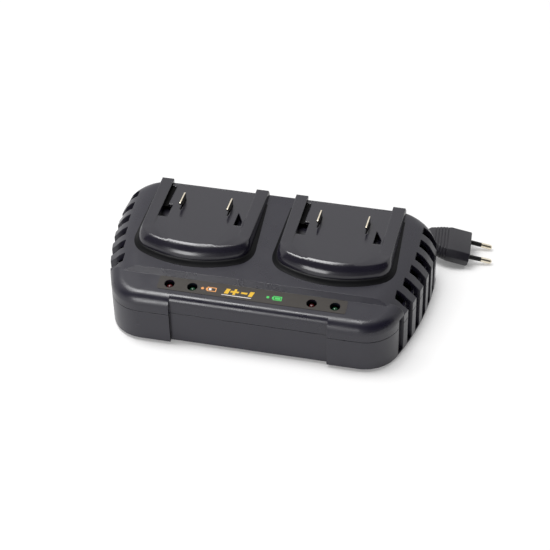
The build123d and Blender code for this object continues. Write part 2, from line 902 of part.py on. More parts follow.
with BuildPart() as input_choke:
    with BuildSketch(Plane.XY.offset(board_top)):
        with Locations((choke_edge_gap - board_width / 2, front_y + choke_from_front)):
            RegularPolygon(choke_radius, choke_turns)
            RegularPolygon(choke_bore, choke_turns, mode=Mode.SUBTRACT)
    extrude(amount=choke_height)

with BuildPart() as mains_fuse:
    with BuildSketch(Plane.XY.offset(board_top)):
        with Locations((fuse_x, front_y + fuse_from_front)):
            Rectangle(fuse_length, fuse_width)
    extrude(amount=fuse_height)
    chamfer(mains_fuse.edges().filter_by(Axis.Z), length=fuse_edge)

sink_y = front_y + sink_from_front
with BuildPart() as heat_sinks:
    with BuildSketch(Plane.XY.offset(board_top)):
        with Locations((sink_offset, sink_y)):
            Rectangle(sink_plate, sink_length, align=(Align.MIN, Align.CENTER))
            with GridLocations(0, (sink_length - fin_thickness) / (fin_count - 1), 1, fin_count):
                Rectangle(fin_depth, fin_thickness, align=(Align.MAX, Align.CENTER))
        mirror(about=Plane.YZ)
    extrude(amount=sink_height)

tab_x = sink_offset + sink_plate
with BuildPart() as power_transistors:
    with BuildSketch(Plane.YZ.offset(tab_x)):
        with Locations((sink_y, board_top + leg_height)):
            Rectangle(transistor_width, transistor_height, align=(Align.CENTER, Align.MIN))
    extrude(amount=transistor_depth)
    with BuildSketch(Plane.YZ.offset(tab_x)):
        with Locations((sink_y, board_top + leg_height + transistor_height)):
            Rectangle(transistor_width, tab_height, align=(Align.CENTER, Align.MIN))
        with Locations((sink_y, board_top)):
            with GridLocations(leg_pitch, 0, 3, 1):
                Rectangle(leg_width, leg_height, align=(Align.CENTER, Align.MIN))
    extrude(amount=tab_thickness)
    mirror(about=Plane.YZ)

# ribbon from the lamp board down to the main board
lamp_board_y = bezel_y + lamp_row
ribbon_top_z = panel_z(lamp_board_y) - lamp_board_depth - board_thickness
ribbon_foot_y = front_y + board_from_front + 4
with BuildPart() as lamp_ribbon:
    with BuildSketch(Plane.YZ):
        with BuildLine():
            FilletPolyline(
                (lamp_board_y, ribbon_top_z - 0.2),
                (lamp_board_y, board_top + 8),
                (ribbon_foot_y, board_top + 8),
                (ribbon_foot_y, board_top),
                radius=3,
            )
        trace(line_width=ribbon_thickness)
    extrude(amount=ribbon_width / 2, both=True)

# two flat straps from each pair of blades down to the main board
with BuildPart() as dock_straps:
    with BuildSketch(Plane.YZ):
        with BuildLine():
            Polyline(
                (blade_y, blade_tail_z),
                (blade_y, strap_high),
                (blade_y - strap_shift, strap_low),
                (blade_y - strap_shift, board_top),
            )
        trace(line_width=strap_thickness)
    extrude(amount=strap_width / 2, both=True)

# ---- mains lead ---------------------------------------------------------------------

cord_radius = cord_diameter / 2
relief_plane = Plane(origin=(exit_x, rear_y, exit_height), x_dir=(-1, 0, 0), z_dir=(0, 1, 0))
with BuildPart() as cord_strain_relief:
    # square flanges on both sides of the rear wall
    with BuildSketch(relief_plane, relief_plane.offset(-base_wall - relief_flange_thickness)):
        Rectangle(relief_flange_width, relief_flange_width)
    extrude(amount=relief_flange_thickness)
    with BuildSketch(relief_plane.offset(-base_wall)):
        Circle(relief_root_radius)
    extrude(amount=base_wall)
    with BuildSketch(relief_plane):
        Circle(relief_root_radius)
    with BuildSketch(relief_plane.offset(relief_length)):
        Circle(relief_tip_radius)
    loft()

# the hank: strands side by side, folded at both ends and drawn in at the waist
hank_base = tie_thickness + tie_fit
outer_bend = hank_inner_bend + cord_diameter
middle_bend = hank_inner_bend + cord_radius
end_radius = outer_bend + cord_radius
waist = 2 * cord_diameter
waist_radius = (hank_half_span**2 + waist**2 - end_radius**2) / (2 * (end_radius - waist))
waist_centre = waist + waist_radius
fold_turn = degrees(atan2(waist_centre, -hank_half_span))
waist_turn = 2 * (fold_turn - 90)
top_strand_z = hank_base + hank_height + cord_radius + 0.3


# the concave side of the strand on top follows the waist of the hank
strand_hollow = waist_centre - (waist - end_radius + middle_bend)

with BuildPart() as cord_hank:
    with BuildSketch(Plane(origin=(hank_x, hank_y, hank_base))):
        with BuildLine():
            CenterArc((hank_half_span, 0), end_radius, -fold_turn, 2 * fold_turn)
            CenterArc((0, waist_centre), waist_radius, -90 + waist_turn / 2, -waist_turn)
            CenterArc((-hank_half_span, 0), end_radius, 180 - fold_turn, 2 * fold_turn)
            CenterArc((0, -waist_centre), waist_radius, 90 + waist_turn / 2, -waist_turn)
        make_face()
    extrude(amount=hank_height)
    rims = cord_hank.faces().sort_by(Axis.Z)[0].edges() + cord_hank.faces().sort_by(Axis.Z)[-1].edges()
    chamfer(rims, length=hank_edge)
    # the strand that rides on top, and the tail that comes in
    with BuildLine(Plane(origin=(hank_x, hank_y, top_strand_z))):
        CenterArc((-hank_half_span, 0), middle_bend, 90, 90 - fold_turn)
        CenterArc((0, waist_centre), strand_hollow, -90 - waist_turn / 2, waist_turn)
        CenterArc((hank_half_span, 0), middle_bend, fold_turn, 90 - fold_turn)
    with BuildSketch(
        Plane(
            origin=(hank_x - hank_half_span, hank_y + middle_bend, top_strand_z),
            x_dir=(0, 1, 0),
            z_dir=(1, 0, 0),
        )
    ):
        RegularPolygon(cord_radius, 8)
        Rectangle(cord_diameter, 2 * cord_radius, align=(Align.CENTER, Align.MAX))
    sweep()
    with BuildSketch(
        Plane(
            origin=(hank_x - hank_half_span - tail_reach, hank_y + outer_bend, hank_base + cord_radius),
            x_dir=(0, 1, 0),
            z_dir=(1, 0, 0),
        )
    ):
        Circle(cord_radius)
    extrude(amount=tail_reach)


def tie_outline(room):
    """The section of the hank at its waist, as a tie draws round it with some room."""
    with BuildSketch() as outline:
        with BuildLine():
            Polyline(
                (-waist, hank_base),
                (waist, hank_base),
                (waist, hank_base + hank_height),
                (-waist, hank_base + hank_height),
                close=True,
            )
            CenterArc((waist - end_radius + middle_bend, top_strand_z), cord_radius, 0, 360)
        make_hull()
        offset(amount=room)
    return outline.sketch


with BuildPart() as cord_tie:
    with BuildSketch(Plane.YZ.offset(hank_x)):
        with Locations((hank_y, 0)):
            add(tie_outline(tie_fit + tie_thickness))
            add(tie_outline(tie_fit), mode=Mode.SUBTRACT)
    extrude(amount=tie_width / 2, both=True)

# the plug lies on its side at the end of the lead
plug_forward = Vector(
    cos(radians(plug_dip)) * cos(radians(plug_turn)),
    cos(radians(plug_dip)) * sin(radians(plug_turn)),
    -sin(radians(plug_dip)),
)
plug_plane = Plane(
    origin=plug_face,
    x_dir=(-sin(radians(plug_turn)), cos(radians(plug_turn)), 0),
    z_dir=plug_forward,
).rotated((0, 0, plug_roll))
plug_length = plug_body_length + plug_taper_length + plug_neck_length
plug_rear = Vector(plug_face) - plug_forward * plug_length


def plug_section(width, thickness, bevel):
    """The flat-sided plug with bevelled ends."""
    with BuildSketch() as outline:
        Rectangle(width, thickness)
        chamfer(outline.vertices(), length=bevel)
    return outline.sketch


def neck_section(back, inset):
    """The tapering neck of the plug, at a distance behind its start."""
    share = back / plug_neck_length
    width = plug_neck_width + (plug_end_width - plug_neck_width) * share - 2 * inset
    thickness = plug_neck_thickness + (plug_end_thickness - plug_neck_thickness) * share - 2 * inset
    with BuildSketch() as outline:
        RectangleRounded(width, thickness, thickness / 2 - 0.3)
    return outline.sketch


neck_start = plug_body_length + plug_taper_length
plug_bevel = (plug_width - plug_flat) / 2
pin_places = [
    plug_plane.location * Pos(side * pin_spacing / 2, 0, 0) * Rot(0, -side * pin_lean, 0)
    for side in (-1, 1)
]
with BuildPart() as plug_body:
    with BuildSketch(plug_plane):
        add(plug_section(plug_width, plug_thickness, plug_bevel))
    extrude(amount=-plug_body_length)
    chamfer(plug_body.faces().sort_by(Axis(plug_face, plug_forward))[-1].edges(), length=plug_edge)
    with BuildSketch(plug_plane.offset(-plug_body_length)):
        add(plug_section(plug_width, plug_thickness, plug_bevel))
    with BuildSketch(plug_plane.offset(-neck_start)):
        add(plug_section(plug_neck_width, plug_neck_thickness, plug_bevel))
    loft(ruled=True)
    with BuildSketch(plug_plane.offset(-neck_start)):
        add(neck_section(0, plug_rib_depth))
    with BuildSketch(plug_plane.offset(-plug_length)):
        add(neck_section(plug_neck_length, 0))
    loft()
    for number in range(plug_rib_count):
        back = plug_rib_gap + number * plug_rib_pitch
        with BuildSketch(plug_plane.offset(-neck_start - back)):
            add(neck_section(back, 0))
        extrude(amount=plug_rib_gap - plug_rib_pitch)
    with Locations(*pin_places):
        Hole(radius=pin_core_radius + thread_fit, depth=pin_root)


def pin_form():
    """A pin standing at the origin: thin core, thicker bare tip with a bevelled end."""
    with BuildPart() as form:
        with BuildSketch(Plane.XZ):
            with BuildLine():
                Polyline(
                    (0, -pin_root),
                    (pin_core_radius, -pin_root),
                    (pin_core_radius, pin_sleeve_length),
                    (pin_radius, pin_sleeve_length),
                    (pin_radius, pin_length - pin_tip),
                    (pin_radius - pin_tip, pin_length),
                    (0, pin_length),
                    close=True,
                )
            make_face()
        revolve(axis=Axis.Z)
    return form.part


def sleeve_form():
    """The insulating sleeve round the root of a pin."""
    with BuildPart() as form:
        with BuildSketch(Plane.XY.offset(sleeve_gap)):
            Circle(pin_sleeve_radius)
            Circle(pin_core_radius + thread_fit, mode=Mode.SUBTRACT)
        extrude(amount=pin_sleeve_length - sleeve_gap)
    return form.part


with BuildPart() as plug_pins:
    with Locations(*pin_places):
        add(pin_form())

with BuildPart() as plug_pin_sleeves:
    with Locations(*pin_places):
        add(sleeve_form())

# the lead between the strain relief and the hank, and between the hank and the plug
tail_start = Vector(hank_x - hank_half_span - tail_reach, hank_y + outer_bend, hank_base + cord_radius)
top_strand_end = Vector(hank_x + hank_half_span, hank_y + middle_bend, top_strand_z)
relief_tip = Vector(exit_x, rear_y + relief_length, exit_height)
inner_route = [
    relief_tip,
    relief_tip + Vector(0, 12.5, 0),
    relief_tip + Vector(6.25, 23.3, -4.2),
    tail_start - Vector(12.5, 0, 0),
    tail_start,
]
outer_route = [
    top_strand_end,
    top_strand_end + Vector(12, 0, 0),
    top_strand_end + Vector(24.1, -4.9, 2.4),
    plug_rear + Vector(-34.7, 11.2, 2.8),
    plug_rear + Vector(-24.9, 2.4, 4.4),
    plug_rear - plug_forward * 12.5,
    plug_rear - plug_forward * joint_gap,
]


def corner_radii(route):
    """The bend at each inner point: 0.45 of the shorter run over the tangent of half the turn."""
    radii = []
    for before, here, after in zip(route, route[1:], route[2:]):
        turn = radians((here - before).get_angle(after - here))
        radii.append(0.45 * min((here - before).length, (after - here).length) / tan(turn / 2))
    return radii


with BuildPart() as power_cord:
    for route in (inner_route, outer_route):
        radii = corner_radii(route)
        print("cord bends", [round(radius, 1) for radius in radii])
        with BuildLine() as cord_line:
            FilletPolyline(*route, radius=radii)
        print("cord run", round(sum(edge.length for edge in cord_line.edges()), 1))
        with BuildSketch(Plane(origin=route[0], z_dir=route[1] - route[0])):
            Circle(cord_radius)
        sweep()
print("cord volume", round(power_cord.part.volume, 1))

# ---- placing the docks' pieces and writing everything out ---------------------------

os.makedirs("parts", exist_ok=True)
for side, dock_x in docks:
    for piece, name in (
        (dock_shoe, "dock_shoe"),
        (contact_carrier, "contact_carrier"),
        (contact_blades, "contact_blades"),
        (dock_straps, "dock_straps"),
    ):
        with BuildPart() as placed:
            with Locations((dock_x, 0)):
                add(piece.part)
        placed.part.label = f"{side}_{name}"
        export_step(placed.part, f"parts/{side}_{name}.step")

for piece, name in (
    (upper_housing, "upper_housing"),
    (lower_housing, "lower_housing"),
    (rubber_feet, "rubber_feet"),
    (housing_screws, "housing_screws"),
    (dock_screws, "dock_screws"),
    (label_overlay, "label_overlay"),
    (lamp_board, "lamp_board"),
    (red_lamps, "red_lamps"),
    (green_lamps, "green_lamps"),
    (lamp_ribbon, "lamp_ribbon"),
    (main_board, "main_board"),
    (board_screws, "board_screws"),
    (transformer_cores, "transformer_cores"),
    (transformer_windings, "transformer_windings"),
    (bulk_capacitors, "bulk_capacitors"),
    (output_capacitors, "output_capacitors"),
    (input_choke, "input_choke"),
    (mains_fuse, "mains_fuse"),
    (heat_sinks, "heat_sinks"),
    (power_transistors, "power_transistors"),
    (cord_strain_relief, "cord_strain_relief"),
    (cord_hank, "cord_hank"),
    (cord_tie, "cord_tie"),
    (power_cord, "power_cord"),
    (plug_body, "plug_body"),
    (plug_pins, "plug_pins"),
    (plug_pin_sleeves, "plug_pin_sleeves"),
):
    piece.part.label = name
    export_step(piece.part, f"parts/{name}.step")
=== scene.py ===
import json
import logging
from dataclasses import dataclass, field
from enum import Enum
from math import atan2, cos, hypot, pi, radians, sin, tan
from typing import Any, Iterable, Mapping, Optional, Sequence

import bmesh
import bpy
from mathutils import Matrix, Vector

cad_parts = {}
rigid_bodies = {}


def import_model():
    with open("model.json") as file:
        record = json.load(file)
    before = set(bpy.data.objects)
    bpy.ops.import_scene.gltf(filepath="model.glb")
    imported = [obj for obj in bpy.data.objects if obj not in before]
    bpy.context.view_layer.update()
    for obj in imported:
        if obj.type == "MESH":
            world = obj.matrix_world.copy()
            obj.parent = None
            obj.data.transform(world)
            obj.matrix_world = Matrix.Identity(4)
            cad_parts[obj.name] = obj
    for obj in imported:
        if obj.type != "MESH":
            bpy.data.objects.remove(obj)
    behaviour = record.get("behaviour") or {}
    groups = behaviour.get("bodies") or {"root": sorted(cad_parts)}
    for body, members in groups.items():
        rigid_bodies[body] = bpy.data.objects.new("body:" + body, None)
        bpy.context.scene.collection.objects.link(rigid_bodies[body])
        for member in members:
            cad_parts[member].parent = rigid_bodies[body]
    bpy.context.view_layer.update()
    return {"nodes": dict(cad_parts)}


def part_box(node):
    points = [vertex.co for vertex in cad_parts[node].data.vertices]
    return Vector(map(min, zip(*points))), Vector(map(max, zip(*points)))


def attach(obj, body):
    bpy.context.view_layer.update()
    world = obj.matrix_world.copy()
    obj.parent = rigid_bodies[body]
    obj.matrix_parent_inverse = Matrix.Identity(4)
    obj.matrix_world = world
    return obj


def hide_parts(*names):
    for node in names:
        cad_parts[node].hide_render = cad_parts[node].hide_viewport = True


# A twin-bay mains charger for slide-on tool batteries, dressed around its solids.
# Everything is in metres: X runs along the bays, the front faces -Y and Z is up.
# The sizes in the classes are in millimetres.

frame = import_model()

logging.basicConfig(level=logging.INFO, format="%(message)s")
log = logging.getLogger("charger")

MM = 0.001
WHOLE = (0.0, 1.0)
MIDDLE = (0.3, 0.7)  # where most of a noise lies
Point = tuple[float, float, float]
Pair = tuple[float, float]
Tree = bpy.types.NodeTree
Socket = bpy.types.NodeSocket
Piece = bpy.types.Object


class Bay(Enum):
    """The two bays, each with its middle across the housing."""

    LEFT = -55.0
    RIGHT = 55.0

    @property
    def side(self) -> str:
        """The bay's word in the names of its pieces."""
        return self.name.lower()


# ---- small tools --------------------------------------------------------------------


def linear(code: str) -> tuple[float, float, float, float]:
    """Turns an sRGB hex colour to linear light.

    Args:
        code: the colour as "#rrggbb".

    Returns:
        Red, green, blue and an alpha of one.
    """
    parts = []
    for start in (1, 3, 5):
        share = int(code[start : start + 2], 16) / 255
        parts.append(share / 12.92 if share <= 0.04045 else ((share + 0.055) / 1.055) ** 2.4)
    return (parts[0], parts[1], parts[2], 1.0)


def add_node(
    tree: Tree,
    kind: str,
    settings: Optional[Mapping[Any, Any]] = None,
    links: Optional[Mapping[Any, Socket]] = None,
) -> bpy.types.Node:
    """Adds one node with its settings and links.

    Args:
        tree: the node tree that gets it.
        kind: the node's type.
        settings: a value for each attribute or input, by name or by the input's number.
        links: an output socket for each input, by name or by number.

    Returns:
        The new node.
    """
    node = tree.nodes.new(kind)
    for name, value in (settings or {}).items():
        if isinstance(name, int) or name in node.inputs:
            node.inputs[name].default_value = value
        else:
            setattr(node, name, value)
    for name, socket in (links or {}).items():
        tree.links.new(socket, node.inputs[name])
    return node


def per_mm(size: float) -> float:
    """The scale that gives a pattern features of this size in millimetres."""
    return 1 / (size * MM)


def mesh_object(name: str, mesh: bmesh.types.BMesh, smooth: bool = True) -> Piece:
    """Makes an object of a finished mesh and puts it in the scene.

    Args:
        name: the piece's name.
        mesh: its mesh, which is freed.
        smooth: whether its faces are shaded smooth.

    Returns:
        The new object.
    """
    bmesh.ops.recalc_face_normals(mesh, faces=mesh.faces)
    data = bpy.data.meshes.new(name)
    mesh.to_mesh(data)
    mesh.free()
    for face in data.polygons:
        face.use_smooth = smooth
    piece = bpy.data.objects.new(name, data)
    bpy.context.scene.collection.objects.link(piece)
    return piece


def shade_edges(piece: Piece, sharpest: float) -> None:
    """Shades a piece smooth except over sharp edges.

    Args:
        piece: the piece.
        sharpest: the turn in degrees from which an edge stays sharp.
    """
    limit = radians(sharpest)
    mesh = bmesh.new()
    mesh.from_mesh(piece.data)
    for edge in mesh.edges:
        edge.smooth = len(edge.link_faces) != 2 or edge.calc_face_angle(0) < limit
    mesh.to_mesh(piece.data)
    mesh.free()


def loft(mesh: bmesh.types.BMesh, rings: Sequence[Sequence[Vector]]) -> None:
    """Joins closed rings of equally many points into one closed skin.

    Args:
        mesh: the mesh that gets the skin.
        rings: the rings in order, of which the first and last get an end face.
    """
    rows = [[mesh.verts.new(point) for point in ring] for ring in rings]
    for before, after in zip(rows, rows[1:]):
        count = len(before)
        for here in range(count):
            there = (here + 1) % count
            mesh.faces.new((before[here], before[there], after[there], after[here]))
    mesh.faces.new(list(reversed(rows[0])))
    mesh.faces.new(rows[-1])


def turned_rings(profile: Iterable[Pair], place: Matrix, count: int) -> list[list[Vector]]:
    """Rings of a turned form.

    Args:
        profile: radius and height of each ring.
        place: where the form's own axes lie.
        count: points in a ring.

    Returns:
        The rings, each a list of points.
    """
    turns = [2 * pi * step / count for step in range(count)]
    return [
        [place @ Vector((radius * cos(turn), radius * sin(turn), height)) for turn in turns]
        for radius, height in profile
    ]


def rounded(corners: Sequence[Pair], radius: float) -> list[Pair]:
    """Rounds each corner of an outline with three points.

    Args:
        corners: the outline's corners in order.
        radius: how far the rounding starts from each corner.

    Returns:
        Three points for each corner.
    """
    outline = []
    for number, (x, y) in enumerate(corners):
        sides = []
        for ox, oy in (corners[number - 1], corners[(number + 1) % len(corners)]):
            share = radius / hypot(ox - x, oy - y)
            sides.append((x + (ox - x) * share, y + (oy - y) * share))
        (ax, ay), (bx, by) = sides
        outline += [(ax, ay), ((ax + 2 * x + bx) / 4, (ay + 2 * y + by) / 4), (bx, by)]
    return outline


# ---- finishes -----------------------------------------------------------------------


def patches(
    tree: Tree,
    size: float,
    between: Pair,
    octaves: Pair = (3.0, 0.5),
    contrast: Pair = MIDDLE,
) -> Socket:
    """Irregular patches on a surface, such as dust, clouds, stains and uneven shine.

    Args:
        tree: the material's nodes.
        size: how large the patches are, in millimetres.
        between: the two values between which they lie.
        octaves: how many octaves of finer patches they hold, and how strong these are.
        contrast: the part of the noise that is spread over the two values.

    Returns:
        The value at each point.
    """
    place = add_node(tree, "ShaderNodeTexCoord").outputs["Object"]
    noise = add_node(
        tree,
        "ShaderNodeTexNoise",
        {"Scale": per_mm(size), "Detail": octaves[0], "Roughness": octaves[1]},
        {"Vector": place},
    ).outputs["Fac"]
    limits = dict(zip(("From Min", "From Max", "To Min", "To Max"), contrast + between))
    return add_node(tree, "ShaderNodeMapRange", limits, {"Value": noise}).outputs["Result"]


def relief(
    tree: Tree,
    size: float,
    height: float,
    strength: float,
    octaves: Pair = (3.0, 0.5),
    under: Optional[Socket] = None,
) -> Socket:
    """A fine irregular relief on a surface.

    Args:
        tree: the material's nodes.
        size: how large its bumps are, in millimetres.
        height: how high they are, in millimetres.
        strength: how far they tip the surface.
        octaves: how many octaves of finer bumps it holds, and how strong these are.
        under: the normal that it lies on, if not the mesh's own.

    Returns:
        The normal at each point.
    """
    links = {"Height": patches(tree, size, WHOLE, octaves, WHOLE)}
    if under is not None:
        links["Normal"] = under
    settings = {"Strength": strength, "Distance": height * MM}
    return add_node(tree, "ShaderNodeBump", settings, links).outputs["Normal"]


@dataclass
class Pattern:
    """What changes over a surface."""

    links: dict[str, Socket] = field(default_factory=dict)  # for the shader's inputs
    tints: list[tuple[Socket, str]] = field(default_factory=list)  # cover and colour


@dataclass(frozen=True)
class Finish:
    """What every finish shares: a name, a colour and how rough it is."""

    name: str
    colour: str
    roughness: float = 0.5

    def constants(self) -> dict[str, Any]:
        """What is the same all over the surface."""
        return {}

    def pattern(self, tree: Tree) -> Pattern:
        """What changes over the surface."""
        return Pattern()

    def material(self) -> bpy.types.Material:
        """Makes the material, once for each name.

        Returns:
            The material.
        """
        made = bpy.data.materials.get(self.name)
        if made:
            return made
        made = bpy.data.materials.new(self.name)
        made.use_nodes = True
        tree = made.node_tree
        tree.nodes.clear()
        own = linear(self.colour)
        pattern = self.pattern(tree)
        links = dict(pattern.links)
        for cover, tint in pattern.tints:
            below = {0: cover}
            if "Base Color" in links:
                below[6] = links["Base Color"]
            mixed = {"data_type": "RGBA", 6: own, 7: linear(tint)}
            links["Base Color"] = add_node(tree, "ShaderNodeMix", mixed, below).outputs[2]
        settings = {"Base Color": own, "Roughness": self.roughness, **self.constants()}
        surface = add_node(tree, "ShaderNodeBsdfPrincipled", settings, links)
        output = {"Surface": surface.outputs["BSDF"]}
        add_node(tree, "ShaderNodeOutputMaterial", links=output)
        return made


@dataclass(frozen=True)
class MouldedPlastic(Finish):
    """Plastic moulded in a spark-eroded tool: a fine even grain that softens each
    reflection, edges rounded by the tool and rubbed a little paler in use, and
    faint clouds where hands have polished it."""

    worn: str = "#2b2a30"
    ior: float = 1.54
    grain: float = 0.9  # the real grain of 0.2 mm is too fine to show
    grain_height: float = 0.012
    grain_octaves: Pair = (2.0, 0.6)
    edge: float = 0.45  # radius of the moulded edges
    edge_samples: int = 8
    rubbed: Pair = (0.8, 0.985)  # cosines of the rounding's tilt, most and least rubbed
    rub_size: float = 6.0
    rub_cover: Pair = (0.2, 0.9)
    clouds: float = 22.0
    cloud_octaves: Pair = (4.0, 0.55)
    unevenness: float = 0.07

    def constants(self) -> dict[str, Any]:
        """How strongly the plastic reflects."""
        return {"IOR": self.ior}

    def pattern(self, tree: Tree) -> Pattern:
        """Grain, rounded and rubbed edges, and clouds of polish.

        Args:
            tree: the material's nodes.

        Returns:
            The pattern.
        """
        rounding = add_node(
            tree,
            "ShaderNodeBevel",
            {"samples": self.edge_samples, "Radius": self.edge * MM},
        ).outputs["Normal"]
        flat = add_node(tree, "ShaderNodeNewGeometry").outputs["Normal"]
        tilt = add_node(
            tree, "ShaderNodeVectorMath", {"operation": "DOT_PRODUCT"}, {0: rounding, 1: flat}
        ).outputs["Value"]
        most, least = self.rubbed
        wear = add_node(
            tree,
            "ShaderNodeMapRange",
            {"From Min": most, "From Max": least, "To Min": 1.0, "To Max": 0.0},
            {"Value": tilt},
        ).outputs["Result"]
        cover = add_node(
            tree,
            "ShaderNodeMath",
            {"operation": "MULTIPLY"},
            {0: wear, 1: patches(tree, self.rub_size, self.rub_cover)},
        ).outputs[0]
        shine = (self.roughness - self.unevenness, self.roughness + self.unevenness)
        return Pattern(
            {
                "Roughness": patches(tree, self.clouds, shine, self.cloud_octaves),
                "Normal": relief(
                    tree, self.grain, self.grain_height, 1.0, self.grain_octaves, rounding
                ),
            },
            [(cover, self.worn)],
        )


@dataclass(frozen=True)
class ExtrudedJacket(Finish):
    """PVC drawn through a die over the wires: smooth along its length, with soft
    shallow waves and a dull waxy shine."""

    wave: float = 9.0
    wave_height: float = 0.05
    wave_strength: float = 0.5
    wave_octaves: Pair = (2.0, 0.4)
    unevenness: float = 0.08

    def constants(self) -> dict[str, Any]:
        """Soft PVC."""
        return {"IOR": 1.52}

    def pattern(self, tree: Tree) -> Pattern:
        """Shallow waves and patchy gloss.

        Args:
            tree: the material's nodes.

        Returns:
            The pattern.
        """
        shine = (self.roughness - self.unevenness, self.roughness + self.unevenness)
        return Pattern(
            {
                "Roughness": patches(tree, self.wave, shine, self.wave_octaves),
                "Normal": relief(
                    tree, self.wave, self.wave_height, self.wave_strength, self.wave_octaves
                ),
            }
        )


@dataclass(frozen=True)
class PlatedMetal(Finish):
    """Stamped or turned metal with a thin plating: fine draw lines along one way,
    dulled and slightly stained where it was handled."""

    stain: str = "#6b6048"
    staining: float = 0.5
    stain_size: float = 3.0
    stain_octaves: Pair = (4.0, 0.5)
    stain_contrast: Pair = (0.35, 0.75)
    lines: Point = (2.0, 2.0, 0.15)  # along X, Y and Z
    line_octaves: float = 2.0
    line_height: float = 0.01
    line_strength: float = 0.4
    line_shine: Pair = (-0.06, 0.1)  # off the roughness

    def constants(self) -> dict[str, Any]:
        """Bare metal."""
        return {"Metallic": 1.0}

    def pattern(self, tree: Tree) -> Pattern:
        """Draw lines and stains.

        Args:
            tree: the material's nodes.

        Returns:
            The pattern.
        """
        stretched = add_node(
            tree,
            "ShaderNodeMapping",
            {"Scale": tuple(per_mm(size) for size in self.lines)},
            {"Vector": add_node(tree, "ShaderNodeTexCoord").outputs["Object"]},
        ).outputs["Vector"]
        lines = add_node(
            tree,
            "ShaderNodeTexNoise",
            {"Scale": 1.0, "Detail": self.line_octaves},
            {"Vector": stretched},
        ).outputs["Fac"]
        dull, bright = self.line_shine
        shine = add_node(
            tree,
            "ShaderNodeMapRange",
            {
                "From Min": MIDDLE[0],
                "From Max": MIDDLE[1],
                "To Min": self.roughness + dull,
                "To Max": self.roughness + bright,
            },
            {"Value": lines},
        ).outputs["Result"]
        ridges = add_node(
            tree,
            "ShaderNodeBump",
            {"Strength": self.line_strength, "Distance": self.line_height * MM},
            {"Height": lines},
        ).outputs["Normal"]
        stains = patches(
            tree, self.stain_size, (0.0, self.staining), self.stain_octaves, self.stain_contrast
        )
        return Pattern({"Roughness": shine, "Normal": ridges}, [(stains, self.stain)])


@dataclass(frozen=True)
class ShadedSideBlade(PlatedMetal):
    """A contact blade with painted shade: faces that look less upward are mixed towards a dull
    brown, so its sides read as shaded while its upper edge keeps the metal's bright colour."""

    # painted shade: the colour of the faces that look sideways
    side: str = "#2c281f"
    rubbed: Pair = (0.35, 0.7)  # how far a face looks up, from full painted shade to none

    def pattern(self, tree: Tree) -> Pattern:
        """Draw lines and stains, with painted shade on faces that look less upward.

        Args:
            tree: the material's nodes.

        Returns:
            The pattern.
        """
        made = super().pattern(tree)
        normal = add_node(tree, "ShaderNodeNewGeometry").outputs["Normal"]
        upward = add_node(tree, "ShaderNodeSeparateXYZ", links={0: normal}).outputs["Z"]
        fully_shaded, bright = self.rubbed
        # painted shade: faces that look less upward mix towards the side colour
        side_shade = add_node(
            tree,
            "ShaderNodeMapRange",
            {"From Min": fully_shaded, "From Max": bright, "To Min": 1.0, "To Max": 0.0},
            {"Value": upward},
        ).outputs["Result"]
        return Pattern(made.links, made.tints + [(side_shade, self.side)])


@dataclass(frozen=True)
class PrintedFilm(Finish):
    """Polyester film with a matt lacquer: smooth, a shade browner than the plastic
    under it, with a faint orange-peel in its shine."""

    peel: float = 1.8
    peel_height: float = 0.02
    peel_strength: float = 0.25
    peel_octaves: Pair = (1.0, 0.3)
    unevenness: float = 0.04
    tint: str = "#2c2620"
    tint_size: float = 14.0
    tint_cover: float = 0.35

    def constants(self) -> dict[str, Any]:
        """Matt lacquer."""
        return {"IOR": 1.5}

    def pattern(self, tree: Tree) -> Pattern:
        """Orange-peel and faint clouds of tint.

        Args:
            tree: the material's nodes.

        Returns:
            The pattern.
        """
        shine = (self.roughness - self.unevenness, self.roughness + self.unevenness)
        return Pattern(
            {
                "Roughness": patches(tree, self.peel, shine, self.peel_octaves),
                "Normal": relief(
                    tree, self.peel, self.peel_height, self.peel_strength, self.peel_octaves
                ),
            },
            [(patches(tree, self.tint_size, (0.0, self.tint_cover)), self.tint)],
        )


@dataclass(frozen=True)
class PrintedInk(Finish):
    """Screen-printed ink: flat and even, with the film's shine and a trace of the mesh."""

    mesh: float = 0.4  # between the screen's threads
    thin: str = "#3a332c"  # where the film shows through
    thinness: float = 0.25
    thin_octaves: Pair = (1.0, 0.5)

    def constants(self) -> dict[str, Any]:
        """Cured ink."""
        return {"IOR": 1.5}

    def pattern(self, tree: Tree) -> Pattern:
        """Slightly uneven cover."""
        cover = patches(tree, self.mesh, (0.0, self.thinness), self.thin_octaves)
        return Pattern(tints=[(cover, self.thin)])


@dataclass(frozen=True)
class TintedEpoxy(Finish):
    """Cast epoxy of a lamp, dyed in the mass: clear and glossy at the dome, and deep
    in colour where it is thick."""

    deep: str = "#100c0c"
    swirl: float = 2.0
    swirl_cover: float = 0.4
    scuff: float = 1.2
    scuffing: float = 0.08
    clearness: float = 0.35
    coat: Pair = (0.15, 0.1)  # its weight and roughness

    def constants(self) -> dict[str, Any]:
        """Half-clear epoxy."""
        return {
            "Transmission Weight": self.clearness,
            "IOR": 1.5,
            "Coat Weight": self.coat[0],
            "Coat Roughness": self.coat[1],
        }

    def pattern(self, tree: Tree) -> Pattern:
        """Dye that is a little uneven, and faint scuffs.

        Args:
            tree: the material's nodes.

        Returns:
            The pattern.
        """
        dulled = self.roughness + self.scuffing
        scuffs = patches(tree, self.scuff, (self.roughness, dulled))
        swirls = patches(tree, self.swirl, (0.0, self.swirl_cover))
        return Pattern({"Roughness": scuffs}, [(swirls, self.deep)])


